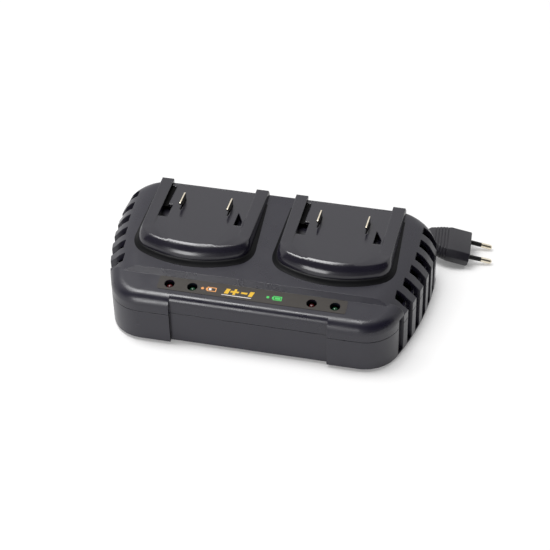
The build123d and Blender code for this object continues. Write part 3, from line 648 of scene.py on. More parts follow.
@dataclass(frozen=True)
class MouldedRubber(Finish):
    """Moulded rubber: matt, with a bloom of dust that greys it."""

    dust: str = "#3b3936"
    dust_size: float = 4.0
    dust_cover: float = 0.6
    dust_octaves: Pair = (5.0, 0.5)
    skin: float = 0.8
    skin_height: float = 0.03
    skin_strength: float = 0.6
    unevenness: float = 0.05

    def constants(self) -> dict[str, Any]:
        """Rubber."""
        return {"IOR": 1.52}

    def pattern(self, tree: Tree) -> Pattern:
        """Dust and a coarse skin.

        Args:
            tree: the material's nodes.

        Returns:
            The pattern.
        """
        shine = (self.roughness - self.unevenness, self.roughness + self.unevenness)
        dusty = patches(tree, self.dust_size, (0.0, self.dust_cover), self.dust_octaves)
        return Pattern(
            {
                "Roughness": patches(tree, self.skin, shine),
                "Normal": relief(tree, self.skin, self.skin_height, self.skin_strength),
            },
            [(dusty, self.dust)],
        )


@dataclass(frozen=True)
class LaminateBoard(Finish):
    """Glass-epoxy board under solder resist: a translucent skin with darker tracks
    that run square to the edges, and the weave of the glass beneath."""

    track: str = "#0d3b22"
    track_pitch: float = 3.2
    track_gap: float = 0.12  # in shares of the pitch
    track_run: float = 4.0
    weave: float = 0.8
    weave_height: float = 0.03
    weave_strength: float = 0.3

    def constants(self) -> dict[str, Any]:
        """Solder resist."""
        return {"IOR": 1.55}

    def pattern(self, tree: Tree) -> Pattern:
        """Tracks and weave.

        Args:
            tree: the material's nodes.

        Returns:
            The pattern.
        """
        tracks = add_node(
            tree,
            "ShaderNodeTexBrick",
            {
                "Scale": per_mm(self.track_pitch),
                "Mortar Size": self.track_gap,
                "Brick Width": self.track_run,
                "Row Height": 1.0,
            },
            {"Vector": add_node(tree, "ShaderNodeTexCoord").outputs["Object"]},
        ).outputs["Fac"]
        weave = relief(tree, self.weave, self.weave_height, self.weave_strength)
        return Pattern({"Normal": weave}, [(tracks, self.track)])


@dataclass(frozen=True)
class WoundWire(Finish):
    """Enamelled wire or tape laid turn beside turn: fine ridges square to the winding,
    each with its own streak of shine."""

    turn: float = 0.9
    turn_height: float = 0.1
    turn_strength: float = 0.7
    wander: float = 0.3
    metallic: float = 0.0
    groove: str = "#1a1410"
    groove_cover: float = 0.5
    waves_per_unit: float = 20.0  # a wave texture of scale 1 repeats this often

    def constants(self) -> dict[str, Any]:
        """Enamel or tape."""
        return {"Metallic": self.metallic}

    def pattern(self, tree: Tree) -> Pattern:
        """Ridges of the turns, darker between them.

        Args:
            tree: the material's nodes.

        Returns:
            The pattern.
        """
        ridges = add_node(
            tree,
            "ShaderNodeTexWave",
            {
                "bands_direction": "Z",
                "Scale": per_mm(self.turn) / self.waves_per_unit,
                "Distortion": self.wander,
            },
            {"Vector": add_node(tree, "ShaderNodeTexCoord").outputs["Object"]},
        ).outputs["Fac"]
        normal = add_node(
            tree,
            "ShaderNodeBump",
            {"Strength": self.turn_strength, "Distance": self.turn_height * MM},
            {"Height": ridges},
        ).outputs["Normal"]
        cover = add_node(
            tree,
            "ShaderNodeMapRange",
            {
                "From Min": MIDDLE[0],
                "From Max": MIDDLE[1],
                "To Min": 0.0,
                "To Max": self.groove_cover,
            },
            {"Value": ridges},
        ).outputs["Result"]
        return Pattern({"Normal": normal}, [(cover, self.groove)])


@dataclass(frozen=True)
class Sintered(Finish):
    """Pressed and fired powder or moulding compound: matt, very fine pores, no shine."""

    pore: float = 0.7
    pore_depth: float = 0.03
    pore_strength: float = 0.6
    pore_octaves: Pair = (4.0, 0.7)
    speckle: str = "#4a4642"
    speckling: float = 0.4

    def pattern(self, tree: Tree) -> Pattern:
        """Pores and a speckle of colour.

        Args:
            tree: the material's nodes.

        Returns:
            The pattern.
        """
        speckles = patches(tree, self.pore, (0.0, self.speckling), self.pore_octaves)
        pores = relief(
            tree, self.pore, self.pore_depth, self.pore_strength, self.pore_octaves
        )
        return Pattern({"Normal": pores}, [(speckles, self.speckle)])


# charcoal moulded parts: satin, faintly purple, glossiest on the docks
HOUSING_ABS = MouldedPlastic("charcoal ABS, spark-eroded grain", "#151320", 0.3)
SHOE_ABS = MouldedPlastic(
    "charcoal ABS, satin dock", "#17151f", 0.2, grain_height=0.006, edge=1.5
)
BASE_ABS = MouldedPlastic("charcoal ABS, base tray", "#151320", 0.34)
# painted shade: the slot's lining and the band under the nose are near-black and hardly reflect,
# so they read as shadow
CARRIER_NYLON = MouldedPlastic("black nylon, contact carrier", "#121214", 0.42)
SLOT_SHADE_LINING = MouldedPlastic(
    "painted shade, near-black rail slot lining", "#030303", 0.6, worn="#060606", ior=1.16
)
NOSE_SHADE_FINISH = MouldedPlastic(
    "black rubber, seal under the nose", "#060608", 0.42, worn="#0b0b0d", edge=0.3, ior=1.2
)
TIE_PLASTIC = MouldedPlastic("black nylon, releasable tie", "#141416", 0.4, edge=0.25)
FOOT_RUBBER = MouldedRubber("black rubber, moulded foot", "#141313", 0.8)
# the lead and its plug: soft PVC, duller than the housing
PLUG_PVC = MouldedPlastic(
    "black PVC, moulded plug", "#1a1820", 0.4, worn="#28272c", edge=0.5
)
SLEEVE_PVC = MouldedPlastic("black PVC, pin sleeve", "#09090a", 0.5, edge=0.2, ior=1.4)
CORD_PVC = ExtrudedJacket("black PVC, extruded cord jacket", "#19191b", 0.45)
RELIEF_PVC = ExtrudedJacket("black PVC, moulded strain relief", "#161618", 0.5)
# metals: near-white where rubbed or turned, brown where tarnished, and the blades' sides painted a
# dull brown as shade
CONTACT_METAL = ShadedSideBlade(
    "nickel-plated brass, rubbed blade", "#efe6d4", 0.3, stain="#c0b08a"
)
PIN_METAL = PlatedMetal(
    "nickel-washed brass, turned pin", "#ece4d2", 0.2, stain="#b3a27c", staining=0.35
)
SCREW_STEEL = PlatedMetal("zinc-plated steel, screw", "#a9adb0", 0.35, stain="#6a6c6e")
COPPER_STRAP = PlatedMetal("tinned copper, flat strap", "#b88860", 0.35, stain="#8a5a3c")
SINK_ALUMINIUM = PlatedMetal(
    "extruded aluminium, mill finish", "#b9bbbd", 0.38, stain="#8d8f92"
)
# the front panel: brown-black film, bright flat inks, dark glassy lamps
LABEL_FILM = PrintedFilm("polyester film, matt lacquer", "#251f19", 0.34)
ORANGE_INK = PrintedInk("orange ink, printed mark", "#e59a50", 0.4)
YELLOW_INK = PrintedInk("yellow ink, printed mark", "#dcae00", 0.4)
GREEN_INK = PrintedInk("green ink, printed mark", "#38c456", 0.4)
WHITE_INK = PrintedInk("white ink, printed mark", "#e9e2dc", 0.4)
RED_LENS = TintedEpoxy("red epoxy, cast lamp", "#5e0f12", 0.16)
GREEN_LENS = TintedEpoxy("green epoxy, cast lamp", "#0f5230", 0.16)
# inside: each part keeps the colour it is sold in
BOARD = LaminateBoard("glass-epoxy board, green resist", "#1b6a3a", 0.35)
FERRITE = Sintered("ferrite, sintered core", "#2b2a2a", 0.7)
FUSE_CASE = Sintered("brown thermoset, fuse case", "#3a2016", 0.6)
COMPONENT_EPOXY = Sintered("black epoxy, moulded transistor", "#151516", 0.55)
WINDING_TAPE = WoundWire("amber polyester tape, wound", "#9a6a1c", 0.3)
CHOKE_WIRE = WoundWire(
    "enamelled copper, wound choke", "#9b4a22", 0.3, turn=1.2, metallic=0.8
)
CAPACITOR_SLEEVE = PrintedFilm("shrunk PVC sleeve, capacitor", "#141b2c", 0.3)
RIBBON_PVC = WoundWire("grey PVC, ribbon cable", "#8b8c8e", 0.5, turn=1.27)

NODE_FINISHES: dict[str, Finish] = {
    "upper_housing": HOUSING_ABS,
    "lower_housing": BASE_ABS,
    "left_dock_shoe": SHOE_ABS,
    "right_dock_shoe": SHOE_ABS,
    "left_contact_carrier": CARRIER_NYLON,
    "right_contact_carrier": CARRIER_NYLON,
    "left_contact_blades": CONTACT_METAL,
    "right_contact_blades": CONTACT_METAL,
    "left_dock_straps": COPPER_STRAP,
    "right_dock_straps": COPPER_STRAP,
    "rubber_feet": FOOT_RUBBER,
    "housing_screws": SCREW_STEEL,
    "dock_screws": SCREW_STEEL,
    "board_screws": SCREW_STEEL,
    "label_overlay": LABEL_FILM,
    "lamp_board": BOARD,
    "main_board": BOARD,
    "red_lamps": RED_LENS,
    "green_lamps": GREEN_LENS,
    "lamp_ribbon": RIBBON_PVC,
    "transformer_cores": FERRITE,
    "transformer_windings": WINDING_TAPE,
    "bulk_capacitors": CAPACITOR_SLEEVE,
    "output_capacitors": CAPACITOR_SLEEVE,
    "input_choke": CHOKE_WIRE,
    "mains_fuse": FUSE_CASE,
    "heat_sinks": SINK_ALUMINIUM,
    "power_transistors": COMPONENT_EPOXY,
    "cord_strain_relief": RELIEF_PVC,
    "cord_hank": CORD_PVC,
    "power_cord": CORD_PVC,
    "cord_tie": TIE_PLASTIC,
    "plug_body": PLUG_PVC,
    "plug_pins": PIN_METAL,
    "plug_pin_sleeves": SLEEVE_PVC,
}


def dress(piece: Piece, finish: Finish) -> None:
    """Gives a whole piece one finish."""
    piece.data.materials.clear()
    piece.data.materials.append(finish.material())


# ---- the docks ----------------------------------------------------------------------


@dataclass
class RailSlot:
    """The undercut slot beside the left arm of a bay that a pack's rail runs in, lined with a
    near-black sheet that paints the shade inside it."""

    inner: float = -36.2  # across, from the bay's middle: under the arm
    outer: float = -30.4
    front: float = 30.9
    rear: float = 57.0
    slope: float = 2.0  # degrees, that of the arm
    arm_rear: Pair = (62.75, 61.6)  # Y and Z of the arm's rear edge
    lip: float = 0.6  # what is left of the arm over the slot
    height: float = 3.6
    wall: float = 0.3  # of the shade lining
    side_fit: float = 0.03
    floor_fit: float = 0.04
    end_fit: float = 0.05
    open_side: float = 0.8  # the lining's open side ends under the deck

    @property
    def width(self) -> float:
        """The slot's width."""
        return self.outer - self.inner

    @property
    def length(self) -> float:
        """The slot's length."""
        return self.rear - self.front

    def centre(self, bay: Bay) -> Vector:
        """The middle of a bay's slot.

        Args:
            bay: the bay.

        Returns:
            The point in millimetres.
        """
        y = (self.front + self.rear) / 2
        arm = self.arm_rear[1] + (self.arm_rear[0] - y) * sin(radians(self.slope))
        x = bay.value + (self.inner + self.outer) / 2
        return Vector((x, y, arm - self.lip - self.height / 2))

    def block(self, tree: Tree, bay: Bay) -> Socket:
        """The room that a pack's rail takes beside and under the arm.

        Args:
            tree: the nodes of a modifier.
            bay: the bay.

        Returns:
            A block to cut away.
        """
        size = Vector((self.width, self.length, self.height)) * MM
        block = add_node(tree, "GeometryNodeMeshCube", {"Size": size})
        return add_node(
            tree,
            "GeometryNodeTransform",
            {"Translation": self.centre(bay) * MM, "Rotation": (-radians(self.slope), 0, 0)},
            {"Geometry": block.outputs["Mesh"]},
        ).outputs["Geometry"]

    def build(self, bay: Bay) -> Piece:
        """Makes the near-black lining of a bay's slot, which paints the shade inside it.

        Args:
            bay: the bay.

        Returns:
            The lining.
        """
        half, wall = self.width / 2 - self.side_fit, self.wall
        low, high = self.floor_fit - self.height / 2, self.height / 2 - self.end_fit
        section = [
            (-half, high),
            (-half, low),
            (half, low),
            (half, low + self.open_side),
            (half - wall, low + self.open_side),
            (half - wall, low + wall),
            (wall - half, low + wall),
            (wall - half, high),
        ]
        tilt = Matrix.Rotation(-radians(self.slope), 4, "X")
        place = Matrix.Translation(self.centre(bay) * MM) @ tilt
        reach = self.length / 2 - self.end_fit
        ends = [
            [place @ (Vector((x, y, z)) * MM) for x, z in section] for y in (-reach, reach)
        ]
        mesh = bmesh.new()
        loft(mesh, ends)
        # painted shade: a near-black lining that makes the slot read as shadow
        shade_lining = mesh_object(f"{bay.side}_rail_slot_shade_lining", mesh, smooth=False)
        dress(shade_lining, SLOT_SHADE_LINING)
        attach(shade_lining, "root")
        log.info("rail channel: %s", bay.side)
        return shade_lining


@dataclass
class NoseShadeBand:
    """A near-black band round the foot of a dock's nose, from housing to lip, that paints the
    shade under the nose's overhang.
    """

    half_width: float = 44.8
    front: float = -23.95
    rear: float = 50.0
    bow: float = 86.0  # radius of the nose's front in plan
    corner: float = 15.0
    top_rear: Pair = (62.75, 58.3)  # Y and Z of the housing's top at the rear
    top_slope: float = 4.0
    lip_height: float = 55.05
    lip_slope: float = 2.2
    least_gap: float = 0.4
    side_steps: int = 8
    front_steps: int = 12
    sharp_from: float = 45.0  # degrees
    section: tuple[Pair, ...] = (
        # outwards from the foot of the nose and up from the housing, in shares of the gap
        (-0.9, -0.1),
        (1.62, -0.1),
        (1.58, 0.05),
        (1.28, 0.2),
        (0.9, 0.42),
        (0.5, 0.7),
        (0.1, 1.02),
        (-0.9, 1.02),
    )

    def path(self) -> list[tuple[Vector, Vector]]:
        """The foot of the nose from the right flank round to the left one.

        Returns:
            Points in plan with the outward direction at each.
        """
        bow_y = self.front + self.bow
        reach = self.half_width - self.corner
        corner_y = bow_y - ((self.bow - self.corner) ** 2 - reach**2) ** 0.5
        tangent = atan2(corner_y - bow_y, reach)
        steps = self.side_steps
        right = []
        for step in range(steps):
            y = self.rear + (corner_y - self.rear) * step / steps
            right.append((Vector((self.half_width, y)), Vector((1, 0))))
        for step in range(steps + 1):
            turn = tangent * step / steps
            out = Vector((cos(turn), sin(turn)))
            right.append((Vector((reach, corner_y)) + out * self.corner, out))
        for step in range(1, self.front_steps + 1):
            turn = tangent + (-pi / 2 - tangent) * step / self.front_steps
            out = Vector((cos(turn), sin(turn)))
            right.append((Vector((0, bow_y)) + out * self.bow, out))
        left = [
            (Vector((-point.x, point.y)), Vector((-out.x, out.y)))
            for point, out in reversed(right[:-1])
        ]
        return right + left

    def top_z(self, y: float) -> float:
        """Height of the housing's sloping top."""
        return self.top_rear[1] - (self.top_rear[0] - y) * tan(radians(self.top_slope))

    def build(self, bay: Bay) -> Piece:
        """Makes the painted shade band under a bay's nose.

        Args:
            bay: the bay.

        Returns:
            The shade band.
        """
        rise = tan(radians(self.lip_slope))
        rings = []
        for point, out in self.path():
            lip = self.lip_height + (point.y - self.front) * rise
            gap = max(lip - self.top_z(point.y), self.least_gap)
            ring = []
            for outward, upward in self.section:
                place = point + out * outward * gap
                height = self.top_z(place.y) + upward * gap
                ring.append(Vector((bay.value + place.x, place.y, height)) * MM)
            rings.append(ring)
        mesh = bmesh.new()
        loft(mesh, rings)
        # painted shade: a near-black band in the gap under the nose
        shade_band = mesh_object(f"{bay.side}_nose_shade_band", mesh)
        shade_edges(shade_band, self.sharp_from)
        dress(shade_band, NOSE_SHADE_FINISH)
        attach(shade_band, "root")
        log.info("nose seal: %s", bay.side)
        return shade_band


@dataclass
class ContactBlades:
    """The two stamped blades of a bay: their tips reach forward over the deck, so that
    a pack's slots slide on to them."""

    bay: Bay
    thick: float = 1.0
    slope: float = 5.4  # degrees, that of the deck
    secant: float = 1.004  # of the slope, rounded
    reach: float = 8.6  # the tip stands this far in front of the root
    tip: float = 2.2  # height of the blunt tip
    rise: float = 7.0
    root_drop: float = 1.2
    round_edge: float = 0.12
    rear_corner: tuple[Pair, ...] = ((0.0, -1.0), (-0.35, -0.3), (-1.0, 0.02))
    front_corner: tuple[Pair, ...] = ((0.9, -0.1), (0.25, -0.35), (0.0, -1.0))
    tip_lean: float = 0.2
    sharp_from: float = 30.0

    def outline(self, low: Vector, high: Vector) -> list[Pair]:
        """A blade's outline from the side.

        Args:
            low: the lowest corner of the solids' box, in millimetres.
            high: its highest corner.

        Returns:
            Y and Z of each point.
        """
        rear_top = high.z - (high.y - low.y) * sin(radians(self.slope)) * self.secant
        root = low.y + self.reach
        return [
            (high.y, low.z),
            *((high.y + y, rear_top + z) for y, z in self.rear_corner),
            *((low.y + y, high.z + z) for y, z in self.front_corner),
            (low.y + self.tip_lean, high.z - self.tip),
            (root, high.z - self.rise - self.root_drop),
            (root, low.z),
        ]

    def build(self) -> Piece:
        """Makes both blades in the place of their solids.

        Returns:
            The blades.
        """
        node = f"{self.bay.side}_contact_blades"
        low, high = (Vector(corner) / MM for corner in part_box(node))
        outline = [Vector(point) for point in self.outline(low, high)]
        middle = sum(outline, Vector((0, 0))) / len(outline)
        edge = self.round_edge
        layers = ((0.0, edge), (edge, 0.0), (self.thick - edge, 0.0), (self.thick, edge))
        mesh = bmesh.new()
        for left in (low.x, high.x - self.thick):
            rings = []
            for across, inset in layers:
                ring = []
                for point in outline:
                    away = point - middle
                    place = middle + away - away.normalized() * inset
                    ring.append(Vector((left + across, *place)) * MM)
                rings.append(ring)
            loft(mesh, rings)
        blades = mesh_object(f"{self.bay.side}_blades_stamped", mesh)
        shade_edges(blades, self.sharp_from)
        dress(blades, CONTACT_METAL)
        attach(blades, "root")
        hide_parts(node)
        log.info("blades: %s", self.bay.side)
        return blades


# ---- the solids that stay in view ---------------------------------------------------


@dataclass
class SolidPieces:
    """The pieces whose solids are shown as they are, with a finish for each."""

    weld_gap: float = 0.004
    sharp_from: float = 34.0  # degrees; flatter edges belong to one rolled surface
    face_weight: int = 90
    slot: RailSlot = field(default_factory=RailSlot)
    finishes: Mapping[str, Finish] = field(default_factory=lambda: NODE_FINISHES)

    def shading_tree(self, bay: Optional[Bay] = None) -> Tree:
        """Nodes that weld a solid's faces and shade its rolled surfaces smooth.

        Args:
            bay: the bay whose rail slot is cut, if any.

        Returns:
            The node tree for a modifier.
        """
        tree = bpy.data.node_groups.new("rolled surfaces", "GeometryNodeTree")
        for way in ("INPUT", "OUTPUT"):
            tree.interface.new_socket(
                "Geometry", in_out=way, socket_type="NodeSocketGeometry"
            )
        entry = add_node(tree, "NodeGroupInput").outputs[0]
        shape = add_node(
            tree,
            "GeometryNodeMergeByDistance",
            {"Distance": self.weld_gap * MM},
            {"Geometry": entry},
        ).outputs["Geometry"]
        if bay:
            shape = add_node(
                tree,
                "GeometryNodeMeshBoolean",
                {"operation": "DIFFERENCE", "solver": "EXACT"},
                {"Mesh 1": shape, "Mesh 2": self.slot.block(tree, bay)},
            ).outputs["Mesh"]
        angle = add_node(tree, "GeometryNodeInputMeshEdgeAngle").outputs["Unsigned Angle"]
        sharp = add_node(
            tree,
            "FunctionNodeCompare",
            {"operation": "GREATER_THAN", "B": radians(self.sharp_from)},
            {"A": angle},
        ).outputs["Result"]
        shaded = add_node(
            tree,
            "GeometryNodeSetMeshNormal",
            {"mode": "SHARPNESS", "Remove Custom": True, "Face Sharpness": False},
            {"Mesh": shape, "Edge Sharpness": sharp},
        ).outputs["Mesh"]
        add_node(tree, "NodeGroupOutput", links={0: shaded})
        return tree

    def build(self) -> None:
        """Finishes and shades every solid."""
        plain = self.shading_tree()
        slotted = {f"{bay.side}_dock_shoe": self.shading_tree(bay) for bay in Bay}
        for name, finish in self.finishes.items():
            piece = frame["nodes"][name]
            dress(piece, finish)
            welded = piece.modifiers.new("weld and shade", "NODES")
            welded.node_group = slotted.get(name, plain)
            weighted = piece.modifiers.new("large faces first", "WEIGHTED_NORMAL")
            weighted.keep_sharp = True
            weighted.weight = self.face_weight
            log.info("solid %s: %s", name, finish.name)


# ---- the lead -----------------------------------------------------------------------


@dataclass
class PlugPlace:
    """Where the plug's face lies and how the plug is turned, as in the solids."""

    face: Point = (147.8, 87.2, 7.15)
    turn: float = 5.1  # degrees, as are the next two
    dip: float = 13.6
    roll: float = 1.8
    length: float = 41.0

    def forward(self) -> Vector:
        """The way the pins point."""
        turn, dip = radians(self.turn), radians(self.dip)
        return Vector((cos(dip) * cos(turn), cos(dip) * sin(turn), -sin(dip)))

    def behind_face(self, back: float) -> Vector:
        """The point on the plug's axis so many millimetres behind its face."""
        return (Vector(self.face) - self.forward() * back) * MM

    def frame_at(self, back: float) -> Matrix:
        """The plug's own axes at a place behind its face.

        Args:
            back: millimetres behind the face.

        Returns:
            A matrix whose X runs across both pins and whose Z points forward.
        """
        forward = self.forward()
        across = Vector((-sin(radians(self.turn)), cos(radians(self.turn)), 0))
        across = (Matrix.Rotation(radians(self.roll), 4, forward) @ across).normalized()
        up = forward.cross(across)
        turned = Matrix((across, up, forward)).transposed().to_4x4()
        return Matrix.Translation(self.behind_face(back)) @ turned


@dataclass
class MainsLead:
    """The flexible lead: strain relief, folded hank behind the housing, plug at its end."""

    diameter: float = 5.4
    length: float = 1.39  # metres
    relief_tip: Point = (-88.0, 82.75, 12.0)
    straight: float = 12.5  # free run before a bend
    exit_bend: Point = (6.25, 23.3, -4.2)
    tail_reach: float = 18.0
    hank_centre: Pair = (0.0, 90.6)
    half_span: float = 40.5
    inner_bend: float = 16.2
    base: float = 0.95
    crown: float = 0.3  # the last turn lies this much over the second layer
    loop_points: int = 5
    loop_slack: float = 0.998
    loop_end: float = 1.08  # where a loop's last point lies, in shares of its radius
    waist_pull: float = 0.75  # how far the curve follows the point at the tie
    leave_bends: tuple[Point, ...] = ((12, 0, 0), (24.1, -4.9, 2.4))
    plug_bends: tuple[Point, ...] = ((-34.7, 11.2, 2.8), (-24.9, 2.4, 4.4))
    plug_gap: float = 0.12
    curve_steps: int = 8
    round_steps: int = 5
    plug: PlugPlace = field(default_factory=PlugPlace)

    def loop(self, side: int, start: Sequence[float], heights: Sequence[float]) -> list[Vector]:
        """The points of one end loop of the hank, from the far side round or back.

        Args:
            side: 1 for the right loop, -1 for the left one.
            start: the strand's radius at each point.
            heights: the strand's height at each point.

        Returns:
            Points that run clockwise as seen from above.
        """
        x, y = self.hank_centre
        gaps = self.loop_points - 1
        widen = self.loop_slack / cos(radians(90 / gaps))
        points = []
        for step, (radius, height) in enumerate(zip(start, heights)):
            turn = radians(90 - 180 * step / gaps)
            along = self.half_span + radius * widen * cos(turn)
            points.append(
                Vector((x + side * along, y + side * radius * widen * sin(turn), height))
            )
        return points

    def waist(self, side: int, radius: float, height: float) -> Vector:
        """The point where a strand passes the tie.

        The curve passes three quarters of the way to it from the ends of the loops
        beside it, so it is drawn further in than the strand.

        Args:
            side: 1 behind the hank's middle, -1 in front of it.
            radius: the strand's radius at the ends.
            height: the strand's height.

        Returns:
            The control point.
        """
        strand = radius - self.inner_bend + self.diameter / 2
        ends = (1 - self.waist_pull) * self.loop_end * radius
        x, y = self.hank_centre
        return Vector((x, y + side * (strand - ends) / self.waist_pull, height))

    def hank_points(self) -> list[Vector]:
        """Four and a half turns, two side by side in each of two layers and one on top.

        Returns:
            The control points from the tie's rear round to the tie's rear.
        """
        inner = self.inner_bend
        outer = inner + self.diameter
        middle = inner + self.diameter / 2
        low = self.base + self.diameter / 2
        high = low + self.diameter
        top = high + self.diameter + self.crown
        ways = (
            # strand of the turn, its height, then how it moves over at the left end
            (outer, low, (outer, 20.5, 18.9, 17.3, inner), (low, low, low, low, low)),
            (inner, low, (inner, inner, inner, inner, inner), (5.0, 7.0, high, high, high)),
            (inner, high, (17.2, 19.6, outer, outer, outer), (9.8, 10.2, high, high, high)),
            (outer, high, (outer, 20.8, 19.2, middle, middle), (11.6, 14.4, 15.3, 15.0, top)),
        )
        points: list[Vector] = []
        for radius, height, shift, climb in ways:
            points.append(self.waist(1, radius, height))
            points += self.loop(1, [radius] * self.loop_points, [height] * self.loop_points)
            points.append(self.waist(-1, radius, height))
            points += self.loop(-1, shift, climb)
        points.append(self.waist(1, middle, top))
        return points

    def route(self) -> list[Vector]:
        """All control points of the lead, in millimetres.

        Returns:
            The points from the strain relief to the plug.
        """
        tip = Vector(self.relief_tip)
        x, y = self.hank_centre
        outer = self.inner_bend + self.diameter
        middle = self.inner_bend + self.diameter / 2
        low = self.base + self.diameter / 2
        top = low + 2 * self.diameter + self.crown
        tail = Vector((x - self.half_span - self.tail_reach, y + outer, low))
        leave = Vector((x + self.half_span, y + middle, top))
        rear = Vector(self.plug.behind_face(self.plug.length)) / MM
        forward = self.plug.forward()
        return [
            tip,
            tip + Vector((0, self.straight, 0)),
            tip + Vector(self.exit_bend),
            tail - Vector((self.straight, 0, 0)),
            tail,
            Vector((x - self.half_span, tail.y, low)),
            *self.hank_points(),
            leave,
            *(leave + Vector(bend) for bend in self.leave_bends),
            *(rear + Vector(bend) for bend in self.plug_bends),
            rear - forward * self.straight,
            rear - forward * self.plug_gap,
        ]

    def build(self) -> Piece:
        """Lays the lead as one smooth curve.

        Returns:
            The lead's curve.
        """
        line = bpy.data.curves.new("mains_lead", "CURVE")
        line.dimensions = "3D"
        line.resolution_u = self.curve_steps
        line.bevel_depth = self.diameter / 2 * MM
        line.bevel_resolution = self.round_steps
        line.use_fill_caps = True
        spline = line.splines.new("NURBS")
        points = self.route()
        spline.points.add(len(points) - 1)
        for knot, point in zip(spline.points, points):
            knot.co = (*(point * MM), 1.0)
        spline.order_u = 3
        spline.use_endpoint_u = True
        lead = bpy.data.objects.new("mains_lead", line)
        bpy.context.scene.collection.objects.link(lead)
        dress(lead, CORD_PVC)
        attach(lead, "root")
        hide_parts("power_cord", "cord_hank")
        log.info("mains lead: %d points", len(points))
        return lead


@dataclass
class StrainRelief:
    """The tapered boot where the lead leaves the rear wall, ribbed so that it bends
    evenly, with a square flange on each side of the wall."""

    root: Point = (-88.0, 62.75, 12.0)
    length: float = 20.0
    root_radius: float = 5.4
    tip_radius: float = 3.6
    tip_plain: float = 2.0
    tip_edge: float = 0.3
    rib_count: int = 6
    rib_depth: float = 0.9
    rib_start: float = 0.6
    rib: tuple[Pair, ...] = (
        # along one rib's pitch, and how deep in shares of the full depth
        (0.0, 0.12),
        (0.12, 0.0),
        (0.52, 0.0),
        (0.64, 0.25),
        (0.7, 1.0),
        (0.9, 1.0),
        (0.96, 0.25),
    )
    core_radius: float = 2.95  # left round the lead in the deepest groove
    skin: float = 0.05
    flange_half: float = 7.2
    flange_corner: float = 2.2
    flange_depth: float = 1.8
    flange_edge: float = 0.4
    flange_fit: float = 0.02
    wall: float = 2.8
    neck_slack: float = 0.1
    ring_points: int = 48
    stub: float = 0.5  # behind the wall
    tuck: float = 0.2  # into the flange
    tip_band: float = 1.0
    sharp_from: float = 40.0  # degrees

    def square_ring(self, half: float, height: float, place: Matrix) -> list[Vector]:
        """A square ring with round corners.

        Args:
            half: half of its width.
            height: its place along the boot.
            place: the boot's own axes.

        Returns:
            Its points, as many as a round ring has.
        """
        points = []
        each = self.ring_points // 4
        corner = self.flange_corner
        reach = (half - corner) * (2**0.5)
        for quarter in range(4):
            middle = radians(90 * quarter + 45)
            for step in range(each):
                turn = radians(90 * quarter + 90 * step / (each - 1))
                x = reach * cos(middle) + corner * cos(turn)
                y = reach * sin(middle) + corner * sin(turn)
                points.append(place @ Vector((x, y, height)))
        return points

    def profile(self) -> list[Pair]:
        """The boot's outline.

        Returns:
            Radius and height of each ring.
        """
        neck = self.root_radius - self.neck_slack
        profile = [(neck, -self.wall - self.stub), (neck, self.flange_depth - self.tuck)]
        pitch = (self.length - self.flange_depth - self.tip_plain) / self.rib_count
        for number in range(self.rib_count):
            start = self.flange_depth + self.rib_start + number * pitch
            for along, inset in self.rib:
                height = start + along * pitch
                taper = (self.tip_radius - self.root_radius) * height / self.length
                radius = self.root_radius + taper
                depth = min(self.rib_depth, radius - self.core_radius)
                profile.append((radius - self.skin - inset * depth, height))
        tip, edge = self.tip_radius, self.tip_edge
        profile += [(tip, self.length - self.tip_band), (tip, self.length - edge)]
        return profile + [(tip - edge, self.length)]

    def build(self) -> Piece:
        """Makes the boot with its flanges.

        Returns:
            The boot.
        """
        place = (
            Matrix.Scale(MM, 4)
            @ Matrix.Translation(self.root)
            @ Matrix.Rotation(radians(-90), 4, "X")
        )
        half, edge = self.flange_half, self.flange_edge
        inner = -self.wall - self.flange_depth
        inside = ((half - edge, inner), (half, inner + edge), (half, -self.wall - self.flange_fit))
        outside = (
            (half, self.flange_fit),
            (half, self.flange_depth - edge),
            (half - edge, self.flange_depth),
        )
        mesh = bmesh.new()
        for flange in (inside, outside):
            loft(mesh, [self.square_ring(width, height, place) for width, height in flange])
        loft(mesh, turned_rings(self.profile(), place, self.ring_points))
        boot = mesh_object("strain_relief_boot", mesh)
        shade_edges(boot, self.sharp_from)
        dress(boot, RELIEF_PVC)
        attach(boot, "root")
        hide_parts("cord_strain_relief")
        log.info("strain relief: %d ribs", self.rib_count)
        return boot


